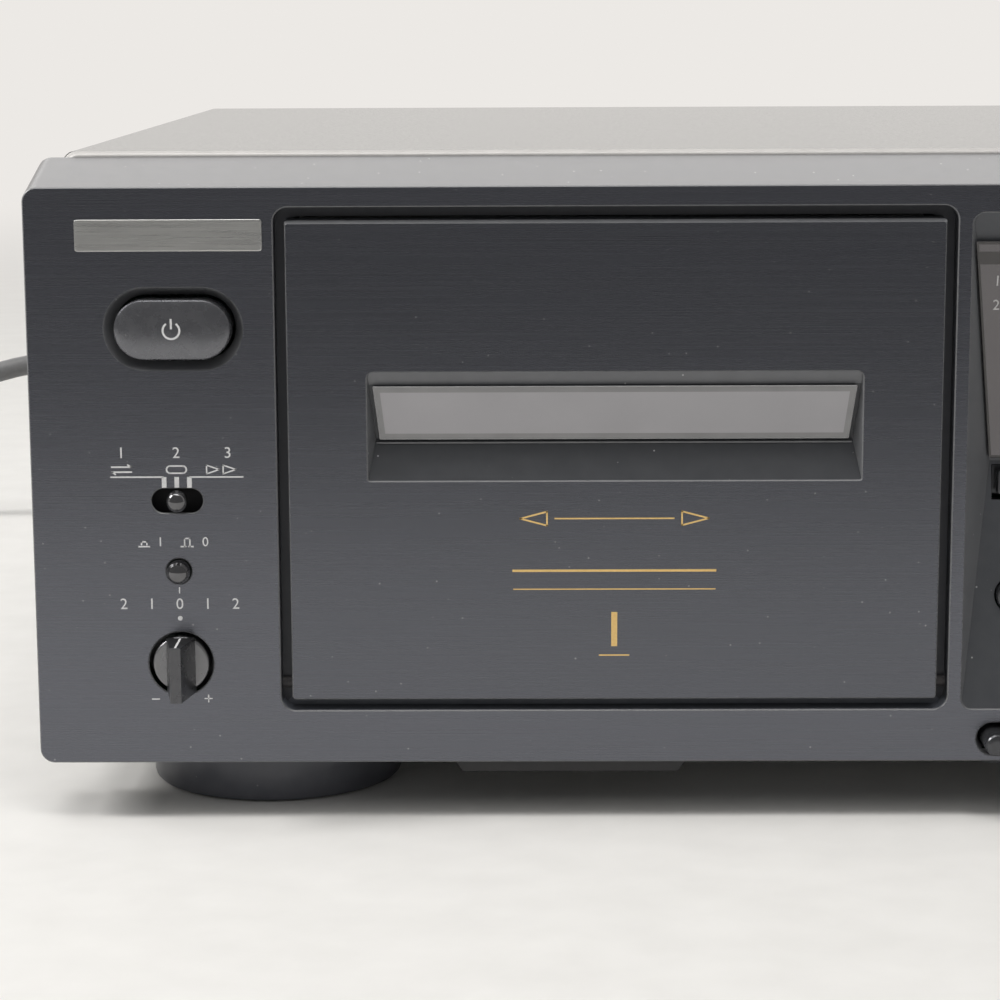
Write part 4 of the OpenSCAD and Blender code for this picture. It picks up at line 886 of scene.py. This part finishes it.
for deck, x in (("a", -DOOR_X), ("b", DOOR_X)):
    body = f"door_{deck}"
    bm = bmesh.new()
    loops, drawn_in, rims = vee(
        bm, x, WIN_HALF, WIN_LOW, WIN_CREASE, WIN_LIP, WIN_TOP, WIN_D, WIN_LIP_D, WIN_DRAFT, 0.4, 1.3
    )
    door_rim = ring(bm, x, BAY_MID, DOOR_W, DOOR_H, DOOR_R, RIM)
    front, faces = eased(bm, door_rim, -1)
    filled(bm, loops + front)
    draw_back(bm, door_rim, DOOR_T - RIM)
    for loop, way, reach in (
        (front, Vector((0, 0, -0.88)), TOP_EASE), (door_rim, Vector((0, 0.6, -0.4)), DOOR_R),
    ):
        for v in {v for edge in loop for v in edge.verts}:
            v.co += way * max(0, 1 - (DOOR_TOP - v.co.z) / reach)
    rims += faces
    # The cheeks and the lip of the vee, and the door's top edge, take the lighter satin: painted light.
    cheeks = [f for f in drawn_in if abs(f.normal.x) > CHEEK_TURN or f.calc_center_median().z > WIN_LIP]
    paint(bm.faces, door_looks, ramp_satin)
    paint(rims, door_looks, rim_painted_highlight)
    paint([f for f in rims if f.calc_center_median().z > DOOR_TOP - 1.2], door_looks, satin_painted_light)
    paint(cheeks, door_looks, satin_painted_light)
    paint(face_front(bm), door_looks, door_hairline)
    piece(f"door_{deck}_moulding", bm, body, door_looks, "door", body, wall=DOOR_WALL)
    bm = bmesh.new()
    # The sill is a thin strip along the crease in the rim tone: a painted highlight line.
    sill = WIN_HALF - WIN_DRAFT * WIN_D - 0.1
    block(bm, x - sill, x + sill, WIN_D - 0.8, WIN_D, WIN_CREASE - 0.85, WIN_CREASE - 0.5)
    piece(f"window_{deck}_sill", bm, body, rim_painted_highlight, "door")
    bm = slanted_pane(
        bmesh.new(), x, WIN_HALF, WIN_DRAFT, WIN_CREASE + 0.05, WIN_LIP - 0.25, pane_depth,
        PANE_T, PANE_GAP, PANE_BORDER,
    )
    piece(
        f"window_{deck}_pane", bm, body, [pane_border, pane_clear, pane_edge_painted_highlight], "window", f"window_{deck}",
        edge=0.18, rim=2,
    )
    barrel = [
        (PIN_HOLE_R, -HINGE_HALF), (HINGE_R, -HINGE_HALF), (HINGE_R, HINGE_HALF), (PIN_HOLE_R, HINGE_HALF),
        (PIN_HOLE_R, -HINGE_HALF),
    ]
    bm = bmesh.new()
    for end in (-1, 1):
        turned(bm, barrel, Vector((x + end * HINGE_X, FACE + HINGE_D, HINGE_Z)), "X", steps=32)
    piece(f"door_{deck}_barrels", bm, body, well_grey, "door")

# Console: a smoked display pane on the upper face of the vee, two small square keys at the crease, seven
# round keys on the ramp and two oval eject keys below, all moulded in black.
DISPLAY_T, DISPLAY_GAP, DISPLAY_BORDER, KEY_OUT = 1.6, 0.45, 0.6, 1.6
display_smoke = finish(
    "display_smoke", (0.140, 0.133, 0.138), (0.150, 0.143, 0.148), 80, (0.10, 0.16), 0.005, metal=0.8
)
display_edge = finish(
    "display_edge", (0.05, 0.048, 0.048), (0.07, 0.066, 0.066), 120, (0.12, 0.18), 0.02
)
key_black = finish(
    "key_moulding", (0.075, 0.077, 0.083), (0.09, 0.092, 0.098), 500, (0.20, 0.26), 0.01, dust=0.3,
    metal=0.7,
)
key_profile = [
    (0, 0.35), (1.2, 0.28), (2.2, 0.1), (2.75, 0), (3.1, 0.12), (3.32, 0.45), (KEY_R, 0.9), (KEY_R, 8),
    (0, 8),
]


def display_depth(z):
    """Depth of the upper face of the console's vee at a height."""
    return CON_D + (CON_LIP_D - CON_D) / (CON_LIP - CON_CREASE) * (z - CON_CREASE)


def crowned(bm, x, z, w, h, r, front, rear, steps, *insets):
    """A solid key or button whose front is built up in steps, each inset and raised, to a soft crown."""
    top = plate(bm, x, z, w, h, r, front, rear, steps)
    for inset, rise in insets:
        bmesh.ops.inset_region(bm, faces=[top], thickness=inset, depth=rise, use_even_offset=True)
    return bm


bm = slanted_pane(
    bmesh.new(), 0, CON_HALF, CON_DRAFT, CON_CREASE + 0.8, CON_LIP - 0.4, display_depth, DISPLAY_T,
    DISPLAY_GAP, DISPLAY_BORDER,
)
piece("display_glass", bm, "case", [display_edge, display_smoke], "pane", "display_pane", edge=0.25)
for key, x, z in ROUND_KEYS:
    bm = turned(bmesh.new(), key_profile, Vector((x, FACE + ramp_depth(z) - KEY_OUT, z)))
    piece(f"{key}_key_cap", bm, f"{key}_key", key_black, "keys", f"{key}_key")
for key, x in (("counter", -SQUARE_X), ("memory", SQUARE_X)):
    bm = bmesh.new()
    d = ramp_depth(SQUARE_Z)
    plate(bm, x, SQUARE_Z, 9, 5, 0.6, d - 1, d + 3)
    plate(bm, x, SQUARE_Z, 10.6, 6.6, 0.4, d + 3, d + 5)
    piece(f"{key}_key_cap", bm, f"{key}_key", key_black, "keys", f"{key}_key", edge=0.4)
for deck, x in (("a", -EJECT_X), ("b", EJECT_X)):
    bm = crowned(
        bmesh.new(), x, EJECT_Z, 15.6, 4.7, 2.34, -4.9, 8, 12,
        (0.10, 0.45), (0.25, 0.35), (0.45, 0.22), (0.6, 0.08),
    )
    piece(f"eject_{deck}_cap", bm, f"eject_key_{deck}", key_black, "keys", f"eject_key_{deck}")

# Left column: power button in its dished recess, three-way slide switch with a ball, pitch push button and
# the pitch knob with its finger bar. All are black mouldings with soft edges.
BALL_R, BALL_OUT, STEM_R = 2.3, 0.5, 1.2
KNOB_R, BAR_OUT, BAR_LOW, BAR_TOP, BAR_ROOT, BAR_TIP = 5.8, 10, -6.1, 5.5, 3.0, 1.15
button_satin = finish(
    "button_satin", (0.150, 0.153, 0.166), (0.172, 0.175, 0.188), 400, (0.24, 0.30), 0.01, dust=0.7,
    metal=0.8,
)
ball_gloss = finish(
    "ball_gloss", (0.13, 0.13, 0.135), (0.16, 0.16, 0.165), 300, (0.05, 0.09), 0.004, metal=0.9
)
# Shield behind the slots: a dust shield whose very dark matt tone is also painted shade in the slot.
dust_shield_and_shade = finish("dust_shield_and_shade", (0.006, 0.006, 0.008), (0.010, 0.010, 0.012), 500, (0.7, 0.85))
knob_looks = knob_satin, disc_satin = [
    finish(name, dark, light, 500, (0.26, 0.32), 0.01, dust=0.3, metal=0.8)
    for name, dark, light in (
        ("knob_satin", (0.10, 0.101, 0.108), (0.12, 0.121, 0.128)),
        ("disc_satin", (0.200, 0.201, 0.210), (0.225, 0.226, 0.235)),
    )
]
bm = crowned(
    bmesh.new(), -COLUMN_X, POWER_Z, 23.8, 12.3, 6.14, -1.5, 11, 16,
    (0.10, 0.36), (0.20, 0.26), (0.35, 0.20), (0.65, 0.20), (1.0, 0.20), (1.3, 0.16), (1.6, 0.10),
)
piece("power_button_cap", bm, "power_button", button_satin, "keys", "power_button")
slider_looks = [dust_shield_and_shade, ball_gloss]
for name, x, z in (("mode", -COLUMN_X, SLIDE_Z), ("noise", COLUMN_X, POWER_Z)):
    bm = bmesh.new()
    bmesh.ops.create_uvsphere(
        bm, u_segments=32, v_segments=20, radius=BALL_R, matrix=Matrix.Translation((x, FACE - BALL_OUT, z))
    )
    turned(bm, [(0, 0), (STEM_R, 0), (STEM_R, 8), (0, 8)], Vector((x, FACE, z)), steps=24)
    ball = bm.faces[:]
    # A shield plate behind the slot moves with the slider; its near-black tone is partly painted shade.
    plate(bm, x, z, 19, 7, 0.5, 4, 4.6)
    paint(ball, slider_looks, ball_gloss)
    piece(f"{name}_slider_ball", bm, f"{name}_slider", slider_looks, "black", f"{name}_slider")
button_profile = [
    (0, -3), (1.1, -2.9), (1.75, -2.6), (2.2, -2.0), (2.42, -1.2), (2.45, -0.4), (2.45, 8), (0, 8),
]
bm = turned(bmesh.new(), button_profile, Vector((-COLUMN_X, FACE, PITCH_KEY_Z)))
piece("pitch_button_cap", bm, "pitch_button", ball_gloss, "keys", "pitch_button")
knob = Vector((-COLUMN_X, FACE, PITCH_Z))
knob_profile = [(0, -0.5), (5.4, -0.5), (5.7, -0.35), (KNOB_R, 0), (KNOB_R, 5), (0, 5)]
bm = turned(bmesh.new(), knob_profile, knob, steps=64)
paint(bm.faces, knob_looks, disc_satin)
bar_section = (
    (-BAR_ROOT, 0.5), (BAR_ROOT, 0.5), (BAR_ROOT, -0.5), (BAR_TIP, -BAR_OUT), (-BAR_TIP, -BAR_OUT),
    (-BAR_ROOT, -0.5),
)
foot = bm.faces.new([bm.verts.new(knob + Vector((x, d, BAR_LOW))) for x, d in bar_section])
thickened(bm, foot, (0, 0, BAR_TOP - BAR_LOW))
piece("pitch_knob_bar", bm, "pitch_knob", knob_looks, "keys", "pitch_knob", edge=0.3)

# Right column: the record level knob with a fluted skirt, a black moulding pressed on its shaft, and the
# phones socket, a black body held in the panel by its nickel ring.
LEVEL_R, LEVEL_MID, FLUTES = 12, 6.6, 36
level_profile = [
    (0, -13.5), (8.5, -13.7), (10.6, -14), (11.4, -13.8), (11.8, -13.2), (LEVEL_R, -12.2), (LEVEL_R, -1),
    (11.7, -0.5), (3, -0.5), (3, 10), (0, 10),
]
bm = turned(bmesh.new(), level_profile, Vector((COLUMN_X, FACE, LEVEL_Z)), steps=2 * FLUTES)
middles = {f: f.calc_center_median() for f in bm.faces if f.calc_area() > 8}
flanks = [f for f, middle in middles.items() if abs(middle.y - FACE + LEVEL_MID) < 0.1]
flanks.sort(key=lambda f: atan2(middles[f].z - LEVEL_Z, middles[f].x - COLUMN_X))
bmesh.ops.inset_individual(bm, faces=flanks[::2], thickness=0.12, depth=-0.35, use_even_offset=True)
piece("level_knob_cap", bm, "level_knob", knob_satin, "keys", "level_knob")
phones = Vector((COLUMN_X, FACE, PITCH_Z))
ring_profile = [
    (3.2, 0.4), (3.4, -0.7), (4.0, -1.2), (5.6, -1.2), (6, -0.8), (6, -0.02), (4.4, 0), (4.4, 5), (3.2, 5),
    (3.2, 0.4),
]
socket_profile = [
    (3.19, 0.5), (4.3, 0.5), (4.3, 6), (6.9, 6), (6.9, 23.9), (0, 23.9), (0, 20), (3.19, 20), (3.19, 0.5),
]
piece("phones_ring", turned(bmesh.new(), ring_profile, phones), "case", nickel, "brass")
bm = turned(bmesh.new(), socket_profile, phones)
piece("phones_socket", bm, "case", black_plastic, "black", "phones_jack")

# Printing and badge: white and gold screen print, marks and numbers only, and a blank metal plate in the
# badge's place, glued to the face.
PRINT, FINE, FIGURE_SHARE, BUTTON_RISE = 0.04, 0.3, 0.69, 2.96
BADGE_X, BADGE_Z, BADGE_W, BADGE_H = -185.5, 122.25, 38, 6.5
TICK_IN, TICK_OUT, DIAL_R, DIAL_START, DIAL_STEP = 14.2, 15.6, 18.2, 235, 29
SCALE_X, SCALE_STEP, MARK = -14.6, 2.1, 0.7
ONE_ARROW, TWO_ARROWS = (0,), (-0.95, 0.95)
KEY_ARROWS = {
    "reverse": (-1, ONE_ARROW), "play": (1, ONE_ARROW),
    "rewind": (-1, TWO_ARROWS), "forward": (1, TWO_ARROWS),
}
white_ink = finish("white_ink", (0.74, 0.74, 0.75), (0.82, 0.82, 0.83), 1500, (0.5, 0.6), 0.05)
pale_ink = finish("pale_ink", (0.50, 0.50, 0.50), (0.58, 0.58, 0.58), 1500, (0.4, 0.5), 0.05)
gold_ink = finish("gold_ink", (0.84, 0.56, 0.20), (0.94, 0.64, 0.25), 1500, (0.4, 0.5), 0.05)
badge_metal = finish(
    "badge_metal", (0.56, 0.56, 0.55), (0.64, 0.64, 0.62), 6000, (0.25, 0.36), 0.03, stretch=(0.01, 1, 1),
    metal=1.0,
)


def at_face(x, z):
    """The matrix that stands a flat drawing on the panel's face at a place."""
    return Matrix.Translation((x, FACE - PRINT / 2, z)) @ Matrix.Rotation(pi / 2, 4, "X")


def stroke(bm, x0, z0, x1, z1, width=FINE):
    """A printed line from one point of the face to another."""
    turn = Matrix.Rotation(atan2(z1 - z0, x1 - x0), 4, "Z")
    size = Matrix.Diagonal((hypot(x1 - x0, z1 - z0) + width, width, PRINT, 1))
    bmesh.ops.create_cube(bm, size=1, matrix=at_face((x0 + x1) / 2, (z0 + z1) / 2) @ turn @ size)


def outlined(bm, points, width):
    """A closed printed outline through points of the face."""
    for start, end in zip(points, points[1:] + points[:1]):
        stroke(bm, *start, *end, width)


def figures(bm, text, x, z, height, weight=0.0):
    """Plain numbers of a given height, centred on a point of the face."""
    letters = bpy.data.curves.new("figures", "FONT")
    letters.body = text
    letters.size = height / FIGURE_SHARE
    letters.align_x, letters.align_y = "CENTER", "CENTER"
    letters.extrude = PRINT / 2
    letters.offset = weight
    letters.resolution_u = 4
    drawn = linked("figures", letters)
    mesh = settled(drawn)
    mesh.transform(at_face(x, z))
    merged = bmesh.new()
    merged.from_mesh(mesh)
    bmesh.ops.remove_doubles(merged, verts=merged.verts, dist=1e-3)
    merged.to_mesh(mesh)
    merged.free()
    bm.from_mesh(mesh)
    bpy.data.objects.remove(drawn)
    bpy.data.meshes.remove(mesh)


def arc(bm, x, z, radius, width, start, sweep, steps=24):
    """A printed arc round a point of the face, from a start angle over a sweep, in degrees."""
    place = at_face(x, z) @ Matrix.Rotation(radians(start), 4, "Z")
    loop = [
        bm.verts.new(place @ Vector((radius + side * width / 2, 0, lift * PRINT / 2)))
        for side, lift in ((-1, -1), (1, -1), (1, 1), (-1, 1))
    ]
    first = bm.faces.new(loop)
    bmesh.ops.spin(
        bm, geom=[first, *first.edges, *loop], cent=(x, FACE, z), axis=(0, -1, 0), angle=radians(sweep),
        steps=steps,
    )
    turn_out(bm)


def dot(bm, x, z, radius, steps):
    """A round printed dot."""
    bmesh.ops.create_cone(
        bm, cap_ends=True, segments=steps, radius1=radius, radius2=radius, depth=PRINT, matrix=at_face(x, z)
    )


def moved(bm, x, z):
    """Moves a print along the face."""
    bmesh.ops.translate(bm, vec=(x, 0, z), verts=bm.verts)
    return bm


def laid(bm, depth_at):
    """Lays a print that was drawn on the face back on a slanted one."""
    for v in bm.verts:
        v.co.y += depth_at(v.co.z)
    return bm


bm = bmesh.new()
for line in (
    (16.5, 60.65, 27.2, 60.65, 0.3), (32.8, 60.65, 43.6, 60.65, 0.3),
    (27.4, 58.9, 27.4, 60.2, 0.95), (30, 58.9, 30, 60.2, 0.95), (32.6, 58.9, 32.6, 60.2, 0.95),
    (16.7, 62.75, 20.7, 62.75, 0.32), (20.0, 63.2, 20.7, 62.75, 0.3), (16.7, 61.7, 20.7, 61.7, 0.32),
    (16.7, 61.7, 17.4, 61.25, 0.3), (28.7, 62.95, 31.3, 62.95, 0.32), (28.7, 61.45, 31.3, 61.45, 0.32),
    (21.9, 46.1, 24.0, 46.1, 0.3), (22.4, 46.5, 22.4, 47.1, 0.28), (23.5, 46.5, 23.5, 47.1, 0.28),
    (22.4, 47.1, 23.5, 47.1, 0.28), (30.6, 46.1, 31.5, 46.1, 0.3), (32.2, 46.1, 33.0, 46.1, 0.3),
    (31.3, 46.1, 31.3, 47.8, 0.28), (32.4, 46.1, 32.4, 47.8, 0.28), (31.3, 47.8, 32.4, 47.8, 0.28),
    (30, 36.35, 30, 37.4, 0.25), (23.8, 13.7, 25.2, 13.7, 0.26), (34.8, 13.8, 36.2, 13.8, 0.26),
    (35.5, 13.1, 35.5, 14.5, 0.26),
):
    stroke(bm, *line)
for x, start in ((28.7, 90), (31.3, -90)):
    arc(bm, x, 62.2, 0.75, 0.32, start, 180, 10)
for x in (36.2, 39.6):
    outlined(bm, [(x, 61.3), (x, 63.1), (x + 2.6, 62.2)], 0.28)
for z, height, row in (
    (65.6, 2.25, (("1", 18.7), ("2", 30), ("3", 40.6))), (47.0, 1.9, (("1", 26.3), ("0", 35.6))),
    (33.9, 2.25, (("2", 18.4), ("1", 24.2), ("0", 30), ("1", 35.8), ("2", 41.6))),
):
    for text, x in row:
        figures(bm, text, x, z, height)
dot(bm, 30, 30.95, 0.5, 16)
moved(bm, -PANEL_W / 2, FACE_LOW)
for i in range(11):
    angle = radians(DIAL_START - DIAL_STEP * i)
    (x0, z0), (x1, z1), (x2, z2) = (
        (COLUMN_X + r * cos(angle), LEVEL_Z + r * sin(angle)) for r in (TICK_IN, TICK_OUT, DIAL_R)
    )
    stroke(bm, x0, z0, x1, z1)
    figures(bm, str(i), x2, z2, 2.0)
for i, text in enumerate("123"):
    figures(bm, text, COLUMN_X + 4.5 * (i - 1), POWER_Z + 6.4, 2.0)
arc(bm, COLUMN_X, PITCH_Z + 10.4, 2.4, 0.32, 0, 180)
for x in (COLUMN_X - 2.4, COLUMN_X + 2.4):
    stroke(bm, x, PITCH_Z + 9, x, PITCH_Z + 10.3, 0.85)
piece("white_print", bm, "case", white_ink, "white")

bm = bmesh.new()
for key, x, z in ROUND_KEYS:
    z += KEY_R + 2.1
    for d in (-MARK, MARK):
        if key in ("stop", "pause"):
            stroke(bm, x + d, z - MARK, x + d, z + MARK)
        if key == "stop":
            stroke(bm, x - MARK, z + d, x + MARK, z + d)
    if key == "record":
        dot(bm, x, z, 0.9, 20)
    way, shifts = KEY_ARROWS.get(key, (0, ()))
    for shift in shifts:
        root, tip = x + shift - way * 0.8, x + shift + way * 0.8
        outlined(bm, [(root, z - 0.75), (root, z + 0.75), (tip, z)], 0.28)
piece("key_marks", laid(bm, ramp_depth), "case", white_ink, "white")

# A dark strip across the top of the display pane.
bm = bmesh.new()
stroke(bm, -20.1, 117, 20.1, 117, 2.6)
piece("display_top_strip", laid(bm, lambda z: display_depth(z) - DISPLAY_T), "case", display_edge, "pane")

bm = bmesh.new()
for row, z in (("1", 112.2), ("2", 107.2)):
    figures(bm, row, -17.3, z, 2.1)
    for i in range(15):
        x = SCALE_X + SCALE_STEP * i
        stroke(bm, x, z - 0.6, x, z + 0.6, 0.26)
for i, text in enumerate(("20", "10", "5", "0", "3", "6")):
    figures(bm, text, SCALE_X + 2.8 * SCALE_STEP * i, 103.6, 1.8)
stroke(bm, SCALE_X, 101.2, SCALE_X + 14 * SCALE_STEP, 101.2, 0.2)
piece("display_marks", laid(bm, lambda z: display_depth(z) - DISPLAY_T), "case", pale_ink, "white")

bm = bmesh.new()
for i, spot in enumerate(jack_spots):
    figures(bm, str(JACKS - i), -spot.x, jack_z + 9, 3.2)
    stroke(bm, -spot.x - 3, jack_z + 6.4, -spot.x + 3, jack_z + 6.4)
jack_turn = (0, (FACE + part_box("jack_block")[1].y / MM) / 2, 0)
bmesh.ops.rotate(bm, cent=jack_turn, matrix=Matrix.Rotation(pi, 3, "Z"), verts=bm.verts)
piece("jack_numbers", bm, "case", white_ink, "white")

bm = bmesh.new()
plate(bm, BADGE_X, BADGE_Z, BADGE_W, BADGE_H, 0.6, -0.6, 0.5)
piece("badge_plate", bm, "case", badge_metal, "brass", edge=0.25)

bm = bmesh.new()
arc(bm, -COLUMN_X, POWER_Z, 1.7, 0.42, 125, 290)
stroke(bm, -COLUMN_X, POWER_Z + 0.5, -COLUMN_X, POWER_Z + 2.2, 0.42)
piece("power_mark", laid(bm, lambda z: -BUTTON_RISE), "power_button", white_ink, "white")

bm = bmesh.new()
bar_z = PITCH_Z + BAR_TOP
block(bm, knob.x - 0.22, knob.x + 0.22, 0.4 - BAR_OUT, -0.8, bar_z - 0.1, bar_z + 0.04)
piece("pitch_pointer", bm, "pitch_knob", white_ink, "white")
bm = bmesh.new()
for d0, d1, z0, z1 in ((-13.75, -13.4, 5, 8.4), (-12, -1.5, LEVEL_R - 0.2, LEVEL_R - 0.02)):
    block(bm, COLUMN_X - 0.35, COLUMN_X + 0.35, d0, d1, LEVEL_Z + z0, LEVEL_Z + z1)
piece("level_pointer", bm, "level_knob", white_ink, "white")

for deck, x, number in (("a", -DOOR_X, "1"), ("b", DOOR_X, "2")):
    bm = bmesh.new()
    for way in (-1, 1):
        outlined(bm, [(way * 13.9, 50.3), (way * 13.9, 53.2), (way * 19.4, 51.75)], 0.34)
    for half, z, width in ((12.2, 51.75, 0.3), (20.8, 40.8, 0.5), (20.8, 36.9, 0.24), (3.0, 22.9, 0.3)):
        stroke(bm, -half, z, half, z, width)
    figures(bm, number, 0, 28, 7.1, 0.12)
    piece(f"door_{deck}_print", moved(bm, x, FACE_LOW), f"door_{deck}", gold_ink, "brass")

# Floor and light: a pale paper floor that fades to an even backdrop, soft boxes overhead, at the left, in
# front and behind, and a dark card in front of the deck that only its reflections see.
BACK_TONE, CARD_TONE, WORLD_TONE = (0.84, 0.815, 0.785, 1), (0.24, 0.237, 0.235, 1), (0.30, 0.30, 0.295, 1)
LAMP_TONE = (1.0, 0.985, 0.965)
FLOOR_R, FADE_START, FADE_END = 20, 0.45, 1.9
CARD_X, CARD_D, CARD_W, CARD_H = -100, 400, 3200, 1500


def ray_share(tree):
    """1 for camera, glossy and transmitted rays, which see the backdrop itself, and 0 for the rest."""
    rays = shader_node(tree, "LightPath").outputs
    total = rays["Is Camera Ray"]
    for name in ("Is Glossy Ray", "Is Transmission Ray"):
        add = shader_node(tree, "Math", operation="ADD", use_clamp=True)
        wire(tree, (total, add.inputs[0]), (rays[name], add.inputs[1]))
        total = add.outputs["Value"]
    return total


def soft_box(name, power, size, place, aim):
    """A rectangular soft light at a place, turned to a point."""
    light = bpy.data.lights.new(name, "AREA")
    light.energy = power
    light.shape = "RECTANGLE"
    light.size, light.size_y = size
    light.color = LAMP_TONE
    lamp = linked(name, light)
    turn = (Vector(aim) - Vector(place)).to_track_quat("-Z", "Y")
    lamp.matrix_world = Matrix.Translation(place) @ turn.to_matrix().to_4x4()
    return lamp


floor_paper = finish("floor_paper", (0.81, 0.80, 0.78), (0.85, 0.84, 0.82), 70, (0.9, 0.98), 0.3)
tree = floor_paper.node_tree
reach = shader_node(tree, "VectorMath", operation="LENGTH")
fade = shader_node(
    tree, "MapRange", interpolation_type="SMOOTHSTEP", From_Min=FADE_START, From_Max=FADE_END
)
share = shader_node(tree, "Math", operation="MULTIPLY")
glow = shader_node(tree, "Emission", Color=BACK_TONE)
both = shader_node(tree, "MixShader")
wire(
    tree, (shader_node(tree, "TexCoord").outputs["Object"], reach.inputs[0]),
    (reach.outputs["Value"], fade.inputs["Value"]),
    (fade.outputs["Result"], share.inputs[0]), (ray_share(tree), share.inputs[1]),
    (share.outputs["Value"], both.inputs["Fac"]),
    (tree.nodes["Principled BSDF"].outputs["BSDF"], both.inputs[1]),
    (glow.outputs["Emission"], both.inputs[2]),
    (both.outputs["Shader"], tree.nodes["Material Output"].inputs["Surface"]),
)
bm = bmesh.new()
bmesh.ops.create_circle(bm, cap_ends=True, radius=FLOOR_R / MM, segments=96)
floor = as_object("floor", bm)
floor.data.materials.append(floor_paper)
card_felt = bpy.data.materials.new("card_felt")
card_felt.use_nodes = True
tree = card_felt.node_tree
felt = shader_node(tree, "Emission", Color=CARD_TONE)
wire(tree, (felt.outputs["Emission"], tree.nodes["Material Output"].inputs["Surface"]))
bm = bmesh.new()
outline(bm, CARD_X, CARD_H / 2, CARD_W, CARD_H, 0, -CARD_D)
card = as_object("reflection_card", bm)
card.data.materials.append(card_felt)
card.visible_camera = card.visible_diffuse = card.visible_shadow = False
soft_box("overhead", 12.5, (1.7, 0.5), (-0.3, -0.3, 1.6), (-0.2, -0.15, 0.1))
soft_box("left", 29, (0.45, 0.9), (-1.9, -0.26, 1.5), (-0.1, -0.15, 0.05))
soft_box("front", 2, (1.2, 0.8), (-0.3, -1.3, 1.3), (-0.1, -0.2, 0.0)).visible_glossy = False
soft_box("behind", 12.5, (3.2, 1.0), (-0.1, 1.9, 1.35), (-0.1, 0.0, 0.12)).visible_diffuse = False
world = bpy.data.worlds.new("surround")
bpy.context.scene.world = world
world.use_nodes = True
tree = world.node_tree
seen = shader_node(tree, "Mix", data_type="RGBA", A=WORLD_TONE, B=BACK_TONE)
wire(
    tree, (ray_share(tree), seen.inputs["Factor"]),
    (seen.outputs["Result"], tree.nodes["Background"].inputs["Color"]),
)
bpy.context.scene.view_settings.view_transform = "Standard"
